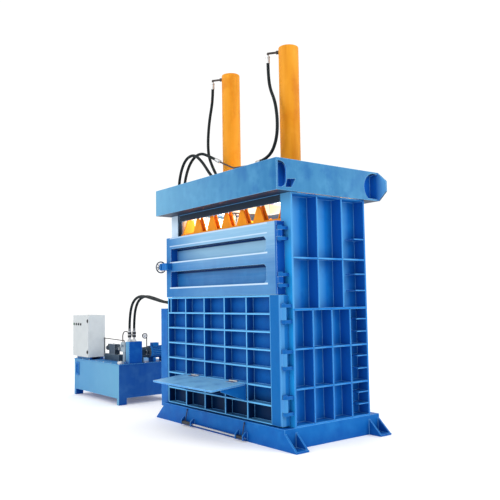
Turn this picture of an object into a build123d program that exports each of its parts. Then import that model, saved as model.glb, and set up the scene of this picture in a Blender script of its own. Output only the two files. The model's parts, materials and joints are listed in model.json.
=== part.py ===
from build123d import *
import math
import os

# Recycling baler
# A tall frame press: a base on four feet, ribbed side and rear walls, a crown
# beam that carries two cylinders, a platen between the walls, two front doors
# and a hydraulic power unit that stands beside the machine.
# X runs along the front, the front faces -Y, Z is up, all in millimetres.
# The origin is on the floor in the middle of the machine's footprint.

# Press body
body_width = 2380
body_depth = 1100
column_width = 164
plate = 20
skin = 16
rib = 16

# Base
base_height = 209
base_depth = 1386
base_web_count = 4
foot_reach = 170
foot_depth = 167
foot_plate = 20
gusset_shoulder = 165
gusset_toe = 24
anchor_radius = 13

# Crown
crown_bottom = 2600
crown_height = 330
crown_overhang = 35
crown_front_reach = 215
crown_beam_depth = 305
crown_ear_reach = 125
crown_ear_chamfer = 114
crown_ear_foot = 96
crown_notch_depth = 113
crown_notch_round = 88
crown_rear_notch_depth = 221
crown_bridge_width = 400
crown_service_edge = -180
crown_side_flange = 130
crown_diaphragm = 12
crown_diaphragm_inset = 95
crown_notch_margin = 10
crown_slot_gap = 8
crown_header_drop = 84
crown_header = 12
crown_header_front = -540

# Side and rear walls
lower_panel_top = 1389
lower_panel_bays = 4
upper_panel_bays = 3
lower_rib_pitch = 402.5
upper_rib_height = 1921
lug_depth = 150
lug_thickness = 10
lug_places = (0.36, 0.7)
lug_top_drop = 110
rear_wall_depth = 108
rear_wall_top = 2300
rear_rib_pitch = 348
rear_rib_bays = 5

# Chamber floor
floor_thickness = 36
floor_plate = 10
floor_bar_count = 9
strap_slot = 34
chamber_clearance = 6

# Lower door
door_front = -660
door_gap = 2
lower_door_bottom = 222
lower_door_top = 1541
lower_door_left = -1112
lower_door_right = 1120
lower_strip_width = 170
lower_rib_row = 187
lower_rib_column = 411
lower_short_rib_inset = 66

# Upper door
upper_door_bottom = 1545
upper_door_top = 2307
upper_door_left = -1140
upper_door_right = 1081
upper_left_stile = 110
upper_right_stile = 173
upper_top_rail = 147
upper_mid_rail_bottom = 1868
upper_mid_rail_top = 1993
upper_bottom_rail = 125
upper_window_corner = 34
upper_skin = 8

# Door hinges
hinge_radius = 27
hinge_axis_y = -640
hinge_pin_radius = 16
hinge_pin_clearance = 0.05
hinge_step_gap = 2
hinge_lug = 34
hinge_head = 12
hinge_head_rim = 8
lower_hinge_offset = 30
upper_hinge_offset = 31
lower_hinge_centres = [1349, 885, 430]
lower_hinge_height = 195
upper_hinge_centres = [2173, 1693]
upper_hinge_height = 143

# Door lock
lock_height = 1935
lock_bolt_radius = 14
lock_bolt_travel = 48
lock_bolt_rest_gap = 6
lock_axis_y = -705
lock_block_length = 130
lock_block_height = 87
lock_block_depth = 80
lock_lug_thickness = 30
lock_door_gap = 6
lock_bolt_reach = 12
lock_chamfer = 12
wheel_radius = 78
wheel_rim_radius = 8
wheel_hub_radius = 24
wheel_hub_length = 40
wheel_spoke_radius = 5
wheel_spokes = 5
wheel_centre_x = -1208

# Lower door lock post
post_right = -1160
post_width = 163
post_top = 1400
post_bottom = 150
post_front = -640
post_wall = 10
post_bracket_reach = 90
post_bracket_lap = 20
post_bracket_heights = [320, 800, 1300]

# Feed shelf
shelf_left = -690
shelf_right = 532
shelf_reach = 440
shelf_thickness = 20
shelf_row = 5
shelf_drop = 5
shelf_hinge_centres = [-465, 310]
shelf_hinge_length = 150
shelf_hinge_radius = 8
shelf_pin_radius = 4
shelf_leaf = 4
shelf_leaf_reach = 60
shelf_knuckle_split = 0.33
shelf_knuckle_gap = 0.01
shelf_edge_gap = 2
shelf_bracket_drop = 187
shelf_bracket_reach = 330
shelf_bracket_inset = 8
shelf_bracket_tip = 34
shelf_sheet = 5
shelf_rest_gap = 0.3

# Platen
platen_side_gap = 26
platen_front = -520
platen_rear_gap = 22
platen_bottom = 2170
platen_top = 2350
platen_plate = 30
platen_web = 16
gusset_pitch = 306
gusset_count = 5
gusset_half_base = 100
gusset_tip = 12
gusset_peak = 2545
gusset_row_step = 59
end_gusset_inset = 37
end_gusset_slope = 68
end_gusset_width = 95
end_gusset_foot = 193

# Cylinders
cylinder_spacing = 1160
barrel_radius = 118
bore_radius = 95
barrel_above_port = 40
barrel_cap = 60
barrel_corner = 9
flange_radius = 172
flange_thickness = 30
gland_length = 80
rod_radius = 60
rod_flange_radius = 105
rod_flange = 34
rod_bolts = 8
flange_bolts = 8
flange_bolt_radius = 12
piston_length = 100
piston_top_gap = 25
running_clearance = 0.05
seat_clearance = 0.1
rod_hole_radius = 78

# Cylinder ports and crown pipework
port_drop = 75
port_outward = (-0.8, -0.6)
port_nut_length = 30
port_reach = 250
port_pipe_radius = 13
port_nut_radius = 22
crimp_radius = 24
crimp_cover = 46
crimp_tail = 48
crimp_nut = (18, 34)
tee_left = -330
tee_size = 120
tee_height = 100
tee_front = -325
crown_pipe_radius = 10
crown_pipe_lead = 75
crown_pipe_middle = [(-230, -231, 3128)]
crown_pipe_clip = 26

# Ejector
ejector_lengths = [(-670, -448), (429, 578)]
ejector_bottom = 16
ejector_top = 100
ejector_reach = 60
ejector_bar_radius = 11
ejector_bar_height = 40
ejector_roller_radius = 20
ejector_rope_radius = 5
ejector_rope_end_radius = 9
ejector_rope_ends = [-600, 540]

# Power unit
tank_left = -4180
tank_right = -2550
tank_front = -645
tank_depth = 900
tank_bottom = 95
tank_top = 585
tank_wall = 6
tank_lid = 8
tank_lid_lip = 8
cabinet_rail_inset = 30
leg_width = 65
leg_depth = 125
gauge_slot_left = -4095
gauge_slot_width = 110
gauge_slot_bottom = 322
gauge_slot_height = 210
filler_x = -2650
filler_y = -565
filler_radius = 52
filler_neck_radius = 34
filler_neck_height = 24
filler_cap_height = 38
filler_cap_slope = 10

# Electrical cabinet
cabinet_left = -4285
cabinet_width = 610
cabinet_front = -630
cabinet_depth = 290
cabinet_bottom = 622
cabinet_height = 666
cabinet_wall = 3
cabinet_door_thickness = 14
cabinet_gap = 0.3
cabinet_rail = 40
cabinet_hinge_radius = 7
cabinet_lock_radius = 15
cabinet_lock_depth = 9
cabinet_lock_heights = [1196, 702]
cabinet_lock_inset = 30
cabinet_lock_shank = 9
cabinet_lock_slot = 4
cabinet_tongue = 3
cabinet_tongue_length = 24
cabinet_tongue_half = 6
cabinet_sheet = 2
cabinet_lip = 16
cabinet_hinge_length = 60
cabinet_hinge_drops = (90, 516)
button_x = [-4240, -4150]
lamp_x = [-4060, -3970]
button_height = 1142
button_radius = 14
button_length = 14
button_shank = 11
button_flange = 3.5
button_collar_radius = 20
button_collar = 6
lamp_dome = 9

# Manifold, pump, motor and valves
block_left = -2675
block_width = 115
block_front = -475
block_depth = 216
block_height = 320
block_corner = 6
hose_fitting_radius = 27
hose_fitting_height = 155
hose_fitting_nut = 34
hose_fitting_neck = 30
hose_fitting_y = [-440, -364]
hose_fitting_x = -2617
dial_radius = 43
dial_thickness = 30
dial_y = -165
dial_height = 978
dial_stem_y = -128
dial_stem_radius = 8
dial_rim = 7
dial_bezel = 12
dial_sunk = 5
needle_length = 31
needle_thickness = 1.2
needle_hub = (5, 3)
needle_angle = 225
motor_length = 345
motor_radius = 93
motor_x = -2665
dial_x = motor_x
motor_front = -92
motor_axis_height = 732
motor_fin = 12
motor_fins = 20
motor_end_shield = 26
motor_fin_half = 2
motor_fan_cover = 78
motor_foot_half = 80
motor_foot_width = 40
motor_foot_height = 66
motor_box_half = 45
motor_box_length = 100
motor_box_height = 57
bell_length = 78
bell_radius = 80
bell_flange = (8, 18)
bell_window_half = 30
bell_window_depth = 16
pump_length = 80
pump_width = 130
pump_height = 150
pump_corner = 28
pump_bolt_radius = 7
pump_bolt_places = [(-42, -50), (-42, 50), (42, -50), (42, 50)]
suction_radius = 24
pump_pipe_radius = 9
pump_pipe_bend = 18
pump_pipe_drop = 45
directional_x = -3310
directional_y = -350
directional_base = 96
directional_axis_height = 770
coil_radius = 38
coil_length = 130
coil_cap = (14, 24)
valve_body_half = 100
valve_body_depth = 44
valve_body_top = 66
valve_base_overhang = 20
plug_inset = 34
plug_half = 18
plug_rise = 26
relief_left = -3010
relief_width = 150
relief_bottom = 736
relief_height = 143
relief_depth_half = 45
relief_post_inset = 40
relief_knob_drop = 50
relief_knob_reach = 34
relief_link_radius = 14
link_pipe_radius = 7
link_pipe_bend = 10
link_pipe_lead = 90
link_pipe_rise = (36, 24)

# Hoses
hose_radius = 19
hose_points = {
    "supply_hose_front": [
        (-2617, -440, 1060), (-2617, -440, 1225), (-2560, -438, 1440), (-2430, -434, 1550), (-2235, -430, 1582),
        (-1960, -425, 1538), (-1660, -415, 1484), (-1430, -405, 1480), (-1300, -397, 1620),
        (-1292, -392, 1880), (-1290, -390, 2250), (-1294, -388, 2620), (-1284, -386, 2960),
        (-1235, -384, 3210), (-1115, -374, 3385), (-940, -354, 3420), (-790, -328, 3302),
        (-650, -306, 3120), (-510, -295, 2985), (-378, -295, 2985),
    ],
    "supply_hose_rear": [
        (-2617, -364, 1060), (-2617, -364, 1215), (-2575, -362, 1410), (-2460, -358, 1535),
        (-2270, -352, 1578),
        (-2050, -346, 1548), (-1760, -338, 1484), (-1500, -330, 1455), (-1330, -320, 1560),
        (-1300, -312, 1800), (-1290, -306, 2150), (-1294, -302, 2560), (-1286, -300, 2950),
        (-1232, -300, 3190), (-1090, -300, 3370), (-880, -296, 3436), (-690, -272, 3352),
        (-530, -250, 3268),
    ],
    "left_cylinder_hose": [
        (-780, -150, 4330), (-780, -150, 4150), (-855, -160, 3880), (-880, -170, 3620),
        (-840, -190, 3400), (-720, -212, 3230), (-600, -226, 3085), (-490, -235, 2985),
        (-378, -235, 2985),
    ],
    "right_cylinder_hose": [
        (380, -150, 4330), (380, -150, 4170), (436, -175, 3965), (560, -205, 3780),
        (610, -215, 3560), (606, -222, 3350), (530, -228, 3190), (400, -231, 3122), (270, -233, 3108),
    ],
}

# Worked out from the sizes above
half_width = body_width / 2
half_depth = body_depth / 2
wall_inside = half_width - column_width
base_front = -base_depth / 2
crown_top = crown_bottom + crown_height
crown_half = half_width + crown_overhang
crown_front = -half_depth - crown_front_reach
crown_rear = half_depth + crown_front_reach
rear_wall_inside = half_depth - rear_wall_depth
door_back = -half_depth - door_gap
lower_hinge_x = lower_door_right + lower_hinge_offset
upper_hinge_x = upper_door_right + upper_hinge_offset
door_hinges = [(lower_hinge_x, z, lower_hinge_height) for z in lower_hinge_centres]
door_hinges += [(upper_hinge_x, z, upper_hinge_height) for z in upper_hinge_centres]
platen_half = wall_inside - platen_side_gap
platen_rear = rear_wall_inside - platen_rear_gap
cylinder_x = [-cylinder_spacing / 2, cylinder_spacing / 2]
shelf_rib_height = lower_door_top - rib / 2 - lower_rib_row * shelf_row
shelf_axis_z = shelf_rib_height + rib / 2 + shelf_leaf
shelf_axis_y = door_front - shelf_hinge_radius - 1
knuckle_edge = shelf_knuckle_split - shelf_knuckle_gap
knuckle_outer = [(0, knuckle_edge), (1 - knuckle_edge, 1)]
knuckle_middle = [(shelf_knuckle_split, 1 - shelf_knuckle_split)]
cabinet_right = cabinet_left + cabinet_width
cabinet_top = cabinet_bottom + cabinet_height
cabinet_back = cabinet_front + cabinet_depth
block_top = tank_top + block_height
port_height = hose_points["left_cylinder_hose"][0][2] + port_drop
barrel_top = port_height + barrel_above_port
bar_along = (Align.CENTER, Align.CENTER, Align.MIN)


# Shared shapes
def block(x0, x1, y0, y1, z0, z1):
    """Block between two corners."""
    centre = Pos((x0 + x1) / 2, (y0 + y1) / 2, (z0 + z1) / 2)
    return centre * Box(x1 - x0, y1 - y0, z1 - z0)


def bar(radius, start, end):
    """Round bar between two points."""
    line = Vector(*end) - Vector(*start)
    return Plane(origin=start, z_dir=line) * Cylinder(radius, line.length, align=bar_along)


def prism_y(outline, y0, y1):
    """Plate with an outline of (x, z) points between two places along Y."""
    face = make_face(Polyline(*[(x, y0, z) for x, z in outline], close=True))
    return extrude(face, amount=y1 - y0, dir=(0, 1, 0))


def prism_x(outline, x0, x1):
    """Plate with an outline of (y, z) points between two places along X."""
    face = make_face(Polyline(*[(x0, y, z) for y, z in outline], close=True))
    return extrude(face, amount=x1 - x0, dir=(1, 0, 0))


def bow_x(start, middle, end, corners, x0, x1):
    """Plate whose outline is one arc closed by straight corners, between two places along X."""
    points = [(x0, y, z) for y, z in (start, middle, end)]
    rest = [points[2]] + [(x0, y, z) for y, z in corners] + [points[0]]
    face = make_face([ThreePointArc(*points), Polyline(*rest)])
    return extrude(face, amount=x1 - x0, dir=(1, 0, 0))


def spread(start, end, count):
    """Evenly spaced places with both ends."""
    return [start + (end - start) * i / (count - 1) for i in range(count)]


def mirrored(shape):
    """The same shape on the other side of the machine."""
    return shape.mirror(Plane.YZ)


def ring_of(shape, radius, count, centre):
    """Copies of an upright shape on a circle about a vertical axis."""
    turns = [math.tau * (i + 0.5) / count for i in range(count)]
    return [Pos(centre[0] + radius * math.cos(t), centre[1] + radius * math.sin(t), centre[2]) * shape
            for t in turns]


# Base with its feet
def foot(side, end):
    """One foot plate with its two gussets, at a corner of the base."""
    outer = half_width + foot_reach
    y_out = end * base_depth / 2
    y_in = end * (base_depth / 2 - foot_depth)
    sole = block(half_width, outer, min(y_out, y_in), max(y_out, y_in), 0, foot_plate)
    hole_y = (y_out + y_in) / 2
    sole -= Pos(half_width + foot_reach / 2, hole_y, 0) * Cylinder(anchor_radius, 3 * foot_plate)
    toe = outer - plate * 0.75
    outline = [(half_width, foot_plate), (half_width, gusset_shoulder), (toe, gusset_toe), (toe, foot_plate)]
    shape = sole
    for y in (y_out, y_in + end * plate):
        y_far = y - end * plate
        shape += prism_y(outline, min(y, y_far), max(y, y_far))
    return shape if side > 0 else mirrored(shape)


def base_frame():
    back = -base_front
    shape = block(-half_width, half_width, base_front, back, base_height - plate, base_height)
    under = base_height - plate
    shape += block(-half_width, half_width, base_front, base_front + plate, 0, under)
    shape += block(-half_width, half_width, back - plate, back, 0, under)
    for x in spread(-half_width, half_width - plate, base_web_count + 2):
        shape += block(x, x + plate, base_front + plate, back - plate, 0, under)
    for side in (-1, 1):
        for end in (-1, 1):
            shape += foot(side, end)
    for lug in ejector_brackets():
        shape += lug
    return shape


# Chamber
def chamber_floor():
    """Floor of bars with slots between them for the strapping."""
    x1 = wall_inside - chamber_clearance
    y0 = -half_depth + chamber_clearance
    y1 = rear_wall_inside - chamber_clearance
    z0 = base_height
    shape = block(-x1, x1, y0, y1, z0, z0 + floor_plate)
    pitch = (2 * x1 + strap_slot) / floor_bar_count
    for i in range(floor_bar_count):
        x = -x1 + i * pitch
        shape += block(x, x + pitch - strap_slot, y0, y1, z0 + floor_plate, z0 + floor_thickness)
    return shape


def side_wall():
    """Right-hand wall: a skin, two flanged columns and the grid of ribs outside."""
    inner = wall_inside + skin
    z0 = base_height
    z1 = crown_bottom
    shape = block(wall_inside, inner, -half_depth + plate, half_depth - plate, z0, z1)
    shape += block(wall_inside, half_width, -half_depth, -half_depth + plate, z0, z1)
    shape += block(wall_inside, half_width, half_depth - plate, half_depth, z0, z1)
    bays = [(lower_panel_bays, z0, lower_panel_top), (upper_panel_bays, lower_panel_top, z1)]
    for count, low, high in bays:
        for y in spread(-half_depth, half_depth, count + 1)[1:-1]:
            shape += block(inner, half_width, y - rib / 2, y + rib / 2, low, high)
    first = [lower_panel_top - lower_rib_pitch * i for i in (1, 2)]
    shelves = [(z, rib) for z in first + [upper_rib_height]]
    shelves += [(lower_panel_top, plate), (z0 + rib / 2, rib), (z1 - rib / 2, rib)]
    for z, thick in shelves:
        y1 = half_depth - plate
        shape += block(inner, half_width, -y1, y1, z - thick / 2, z + thick / 2)
    return shape


def wall_lugs():
    """Short strap guides in the rearmost bays of the side wall."""
    rows = [base_height, lower_panel_top - 2 * lower_rib_pitch, lower_panel_top - lower_rib_pitch,
            lower_panel_top, upper_rib_height]
    levels = [low + (high - low) * share for low, high in zip(rows, rows[1:]) for share in lug_places]
    levels.append((upper_rib_height + crown_bottom) / 2 - lug_top_drop)
    y1 = half_depth - plate
    x0 = wall_inside + skin
    half = lug_thickness / 2
    return [block(x0, half_width - 2, y1 - lug_depth, y1, z - half, z + half) for z in levels]


def right_side_wall():
    shape = side_wall()
    for lug in wall_lugs():
        shape += lug
    return shape


def rear_wall():
    """Rear wall with ribs outside, open above the chamber."""
    x1 = wall_inside
    y0 = rear_wall_inside
    z0 = base_height
    shape = block(-x1, x1, y0, y0 + skin, z0, rear_wall_top)
    for x in spread(-x1 + rib / 2, x1 - rib / 2, rear_rib_bays + 1):
        shape += block(x - rib / 2, x + rib / 2, y0 + skin, half_depth, z0, rear_wall_top)
    rows = int((rear_wall_top - z0) // rear_rib_pitch)
    for z in [z0 + rib / 2 + rear_rib_pitch * i for i in range(rows + 1)] + [rear_wall_top - rib / 2]:
        shape += block(-x1, x1, y0 + skin, half_depth, z - rib / 2, z + rib / 2)
    return shape


# Crown
def crown_end_plate():
    """Right-hand end plate with its two bowed notches and the slot."""
    x0 = crown_half - plate
    y0 = crown_front + plate
    y1 = crown_rear - plate
    low = crown_bottom + plate
    high = crown_top - plate
    margin = crown_notch_margin
    shape = block(x0, crown_half, y0, y1, crown_bottom, high)
    cut = [x0 - 1, crown_half + 1]
    middle = (low + high) / 2
    notch = block(*cut, y0 - 1, y0 + crown_notch_depth, low + margin, high - margin)
    shape -= fillet(notch.edges().filter_by(Axis.X).group_by(Axis.Y)[-1], crown_notch_round)
    rear_bow = [(y1, high - margin), (y1 - crown_rear_notch_depth, middle - margin),
                (y1 - crown_rear_notch_depth * 0.72, low)]
    shape -= bow_x(*rear_bow, [(y1 + 1, low), (y1 + 1, high - margin)], *cut)
    slot_y = y0 + crown_notch_depth + crown_slot_gap
    slot = [(slot_y, low + 101), (slot_y + 117, low + 113), (slot_y + 65, low + 22), (slot_y - 24, low + 13)]
    return shape - prism_x(slot, *cut)


def crown():
    """Crown weldment: two box beams, a header, end plates and the bridges that hold the cylinders."""
    low = crown_bottom + plate
    high = crown_top - plate
    inner = crown_half - plate
    reach = half_depth + crown_front_reach - crown_beam_depth
    edge = crown_bridge_width / 2
    shape = block(-crown_half, crown_half, crown_front, -reach, high, crown_top)
    shape += block(-crown_half, crown_half, reach, crown_rear - plate, high, crown_top)
    shape += block(-crown_half, crown_half, crown_front, crown_front + plate, crown_bottom, high)
    ear = crown_half + crown_ear_reach
    tip_low = crown_bottom + crown_ear_foot
    tip_high = crown_top - crown_ear_chamfer
    half = [(crown_half, crown_top), (ear, tip_high), (ear, tip_low), (crown_half + 15, crown_bottom)]
    outline = half + [(-x, z) for x, z in reversed(half)]
    shape += prism_y(outline, crown_rear - plate, crown_rear)
    for side in (-1, 1):
        near = side * reach
        y0, y1 = sorted((near, side * (crown_rear - plate)))
        shape += block(-inner, inner, y0, y1, crown_bottom, low)
        shape += block(-inner, inner, *sorted((near, near + side * plate)), low, high)
        wall = inner - crown_diaphragm_inset
        for x0 in (wall - crown_diaphragm, -wall):
            shape += block(x0, x0 + crown_diaphragm, y0, y1, low, high)
    for x in cylinder_x:
        floor = block(x - edge, x + edge, -reach, reach, crown_bottom, low)
        floor -= Pos(x, 0, low) * Cylinder(rod_hole_radius, 4 * plate)
        lid = block(x - edge, x + edge, -reach, reach, high, crown_top)
        lid -= Pos(x, 0, high) * Cylinder(barrel_radius + seat_clearance, 4 * plate)
        shape += floor + lid
        for web in (x - edge, x + edge - plate):
            shape += block(web, web + plate, -reach, reach, low, high)
    bay = cylinder_spacing / 2 - edge
    shape += block(-bay, bay, -reach, crown_service_edge, high, crown_top)
    clear = half_width - column_width - plate
    shape += block(-clear, clear, crown_header_front, crown_header_front + crown_header,
                   crown_bottom - crown_header_drop, crown_bottom)
    end = crown_end_plate()
    end += block(crown_half - crown_side_flange, crown_half, -reach, reach, high, crown_top)
    return shape + end + mirrored(end)


# Doors
def hinge_knuckle(x, door_edge, z, height):
    """Moving half of a door hinge: a knuckle and the web that joins it to the door."""
    length = height - 2 * hinge_lug - 2 * hinge_step_gap
    z0 = z - length / 2
    shape = Pos(x, hinge_axis_y, z0) * Cylinder(hinge_radius, length, align=bar_along)
    shape += block(door_edge, x, door_front, hinge_axis_y + hinge_radius, z0, z0 + length)
    hole = Cylinder(hinge_pin_radius + hinge_pin_clearance, length * 2)
    return shape - Pos(x, hinge_axis_y, z) * hole


def hinge_lugs(x, z, height):
    """Fixed half of a door hinge: two lugs and the plate that joins them to the column."""
    shapes = []
    back = -half_depth
    for z0 in (z - height / 2, z + height / 2 - hinge_lug):
        lug = Pos(x, hinge_axis_y, z0) * Cylinder(hinge_radius, hinge_lug, align=bar_along)
        lug += block(x - hinge_radius, x + hinge_radius, hinge_axis_y, back, z0, z0 + hinge_lug)
        lug -= Pos(x, hinge_axis_y, z) * Cylinder(hinge_pin_radius + seat_clearance, height * 2)
        shapes.append(lug)
    return shapes


def hinge_pin(x, z, height):
    """Hinge pin with a round head on the upper lug."""
    pin = Pos(x, hinge_axis_y, z - height / 2 - hinge_head) * Cylinder(
        hinge_pin_radius, height + hinge_head, align=bar_along)
    head = Pos(x, hinge_axis_y, z + height / 2) * Cylinder(
        hinge_pin_radius + hinge_head_rim, hinge_head, align=bar_along)
    return pin + head


def lower_door():
    """Ribbed lower door with its hinge knuckles."""
    back = door_back - skin
    left, right = lower_door_left, lower_door_right
    low, high = lower_door_bottom, lower_door_top
    strip = right - lower_strip_width
    shape = block(left, right, back, door_back, low, high)
    rows = [high - rib - lower_rib_row * i for i in range(8)]
    for z in rows:
        z0 = max(z, low)
        shape += block(left, strip, door_front, back, z0, z + rib)
    columns = [strip - lower_rib_column * i for i in range(5)] + [left]
    for x in columns:
        shape += block(x, x + rib, door_front, back, low, high)
    short = left + lower_short_rib_inset
    shape += block(short, short + rib, door_front, back, rows[1], high)
    shape += block(strip, right, door_front, door_front + skin, low, high)
    shape += block(right - rib, right, door_front + skin, back, low, high)
    for z0 in (low, high - rib):
        shape += block(strip, right - rib, door_front + skin, back, z0, z0 + rib)
    for z in lower_hinge_centres:
        shape += hinge_knuckle(lower_hinge_x, right, z, lower_hinge_height)
    return shape


def upper_door():
    """Framed upper door with two recessed panels, its hinge knuckles and the keeper of the lock."""
    left, right = upper_door_left, upper_door_right
    low, high = upper_door_bottom, upper_door_top
    shape = block(left, right, door_front, door_back, low, high)
    x0 = left + upper_left_stile
    x1 = right - upper_right_stile
    back = door_back - upper_skin
    windows = [(low + upper_bottom_rail, upper_mid_rail_bottom), (upper_mid_rail_top, high - upper_top_rail)]
    for z0, z1 in windows:
        cut = block(x0, x1, door_front - 1, back, z0, z1)
        cut = chamfer(cut.edges().filter_by(Axis.Y).group_by(Axis.X)[-1], upper_window_corner)
        shape -= cut
    for z in upper_hinge_centres:
        shape += hinge_knuckle(upper_hinge_x, right, z, upper_hinge_height)
    return shape


def door_hinge_brackets():
    """Hinge lugs of both doors on the right-hand column."""
    shapes = []
    for x, z, height in door_hinges:
        shapes += hinge_lugs(x, z, height)
    return shapes


def door_hinge_pins():
    return [hinge_pin(*place) for place in door_hinges]


# Upper door lock
lock_block_left = upper_door_left + lock_door_gap
lock_lug_right = upper_door_left - lock_door_gap
lock_lug_left = lock_lug_right - lock_lug_thickness


def lock_keeper():
    """Block on the door's front that takes the end of the lock bolt."""
    z0 = lock_height - lock_block_height / 2
    y0 = lock_axis_y - lock_block_depth / 2
    x1 = lock_block_left + lock_block_length
    shape = block(lock_block_left, x1, y0, door_front, z0, z0 + lock_block_height)
    shape = chamfer(shape.edges().filter_by(Axis.Z).group_by(Axis.Y)[0], lock_chamfer)
    hole = bar(lock_bolt_radius + 1, (lock_block_left - 1, lock_axis_y, lock_height),
               (lock_block_left + lock_bolt_travel + lock_bolt_reach, lock_axis_y, lock_height))
    return shape - hole


def lock_bracket():
    """Arm on the left column that carries the lock bolt and its handwheel."""
    z0 = lock_height - lock_block_height / 2
    z1 = z0 + lock_block_height
    y0 = lock_axis_y - lock_block_depth / 2
    shape = block(lock_lug_left, lock_lug_right, y0, -half_depth, z0, z1)
    shape += block(-half_width, lock_lug_left, -half_depth - plate, -half_depth, z0, z1)
    collar = wheel_centre_x + wheel_hub_length / 2 + shelf_rest_gap
    at = (lock_axis_y, lock_height)
    shape += bar(wheel_hub_radius - 4, (collar, *at), (lock_lug_left, *at))
    bore = lock_bolt_radius + seat_clearance
    return shape - bar(bore, (collar - 1, *at), (lock_lug_right + 1, *at))


def lock_bolt():
    """Sliding bolt, drawn out of the keeper at rest."""
    tip = lock_block_left - lock_bolt_rest_gap
    tail = wheel_centre_x - wheel_hub_length / 2 - lock_bolt_travel - lock_bolt_reach
    shape = bar(lock_bolt_radius, (tail, lock_axis_y, lock_height), (tip, lock_axis_y, lock_height))
    return chamfer(shape.edges().filter_by(GeomType.CIRCLE), 3)


def handwheel():
    """Spoked handwheel whose hub drives the bolt."""
    centre = (wheel_centre_x, lock_axis_y, lock_height)
    hub_end = wheel_centre_x + wheel_hub_length / 2
    hub = bar(wheel_hub_radius, (wheel_centre_x - wheel_hub_length / 2, *centre[1:]), (hub_end, *centre[1:]))
    rim = Pos(*centre) * Rot(0, 90, 0) * Torus(wheel_radius - wheel_rim_radius, wheel_rim_radius)
    shape = hub + rim
    for i in range(wheel_spokes):
        turn = math.tau * i / wheel_spokes
        reach = wheel_radius - wheel_rim_radius
        end = (centre[0], centre[1] + reach * math.cos(turn), centre[2] + reach * math.sin(turn))
        shape += bar(wheel_spoke_radius, centre, end)
    bore = lock_bolt_radius + running_clearance
    return shape - bar(bore, (centre[0] - 60, *centre[1:]), (centre[0] + 60, *centre[1:]))


# Lower door lock post
def lock_post():
    """Hollow post beside the lower door, on brackets from the left column."""
    x1 = post_right
    x0 = x1 - post_width
    y1 = -half_depth
    shape = block(x0, x1, post_front, y1, post_bottom, post_top)
    inside = block(x0 + post_wall, x1 - post_wall, post_front + post_wall, y1 - post_wall,
                   post_bottom - 1, post_top - post_wall)
    shape -= inside
    for z in post_bracket_heights:
        outline = [(x0 + post_bracket_lap, y1), (-half_width, y1), (-half_width, y1 + post_bracket_reach)]
        face = make_face(Polyline(*[(x, y, z) for x, y in outline], close=True))
        shape += extrude(face, amount=rib, dir=(0, 0, 1))
    toe = base_front - 0.5
    shape -= block(-half_width, x1 + 1, toe, y1 + 1, post_bottom - 1, base_height)
    return shape


# Feed shelf
def tilted(shape):
    """Turns a piece of the shelf down about the hinge line."""
    line = Axis((0, shelf_axis_y, shelf_axis_z), (1, 0, 0))
    return shape.rotate(line, shelf_drop)


def feed_shelf():
    """Folded shelf plate with a lip along its front and ends."""
    y1 = shelf_axis_y - shelf_hinge_radius - shelf_edge_gap
    y0 = y1 - shelf_reach
    z1 = shelf_axis_z - shelf_leaf
    z0 = z1 - shelf_thickness
    shape = block(shelf_left, shelf_right, y0, y1, z0, z1)
    edge = shelf_sheet
    shape -= block(shelf_left + edge, shelf_right - edge, y0 + edge, y1 + 1, z0 - 1, z1 - edge)
    return tilted(shape)


def shelf_knuckle(x, shares):
    """Knuckles of a shelf hinge: the stated parts of its length."""
    shape = None
    x0 = x - shelf_hinge_length / 2
    for a, b in shares:
        piece = bar(shelf_hinge_radius, (x0 + a * shelf_hinge_length, shelf_axis_y, shelf_axis_z),
                    (x0 + b * shelf_hinge_length, shelf_axis_y, shelf_axis_z))
        shape = piece if shape is None else shape + piece
    return shape


def shelf_hole(x):
    """Bore of a shelf hinge."""
    reach = shelf_hinge_length
    return bar(shelf_pin_radius + running_clearance, (x - reach, shelf_axis_y, shelf_axis_z),
               (x + reach, shelf_axis_y, shelf_axis_z))


def shelf_hinge_moving():
    """Leaves on the shelf, with the outer knuckles."""
    shapes = []
    length = shelf_hinge_length
    for x in shelf_hinge_centres:
        leaf = shelf_knuckle(x, knuckle_outer)
        y0 = shelf_axis_y - shelf_leaf_reach
        z0 = shelf_axis_z - shelf_leaf
        for a, b in knuckle_outer:
            leaf += block(x + (a - 0.5) * length, x + (b - 0.5) * length, y0, shelf_axis_y, z0, shelf_axis_z)
        y1 = shelf_axis_y - shelf_hinge_radius - shelf_edge_gap
        leaf += block(x - length / 2, x + length / 2, y0, y1, z0, shelf_axis_z)
        shapes.append(tilted(leaf - shelf_hole(x)))
    return shapes


def shelf_hinge_fixed():
    """Leaves on the door rib, with the middle knuckles and the pins riveted into them."""
    shapes = []
    for x in shelf_hinge_centres:
        leaf = shelf_knuckle(x, knuckle_middle)
        half = (0.5 - shelf_knuckle_split) * shelf_hinge_length
        leaf += block(x - half, x + half, shelf_axis_y, door_front + shelf_leaf_reach,
                      shelf_axis_z - shelf_leaf, shelf_axis_z)
        end = shelf_hinge_length / 2
        at = (shelf_axis_y, shelf_axis_z)
        leaf += bar(shelf_pin_radius, (x - end, *at), (x + end, *at))
        shapes.append(leaf)
    return shapes


def shelf_brackets():
    """Two triangular plates under the shelf, welded to the door."""
    drop = math.radians(shelf_drop)
    sheet = (shelf_leaf + shelf_sheet) / math.cos(drop)

    def under(y):
        return shelf_axis_z - sheet + (y - shelf_axis_y) * math.tan(drop) - shelf_rest_gap

    y1 = door_front
    y0 = y1 - shelf_bracket_reach
    outline = [(y1, under(y1)), (y0, under(y0)), (y0, under(y0) - shelf_bracket_tip),
               (y1, under(y1) - shelf_bracket_drop)]
    left = shelf_left + shelf_bracket_inset
    right = shelf_right - shelf_bracket_inset
    half = rib / 2
    return [prism_x(outline, left, left + half), prism_x(outline, right - half, right)]


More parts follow.
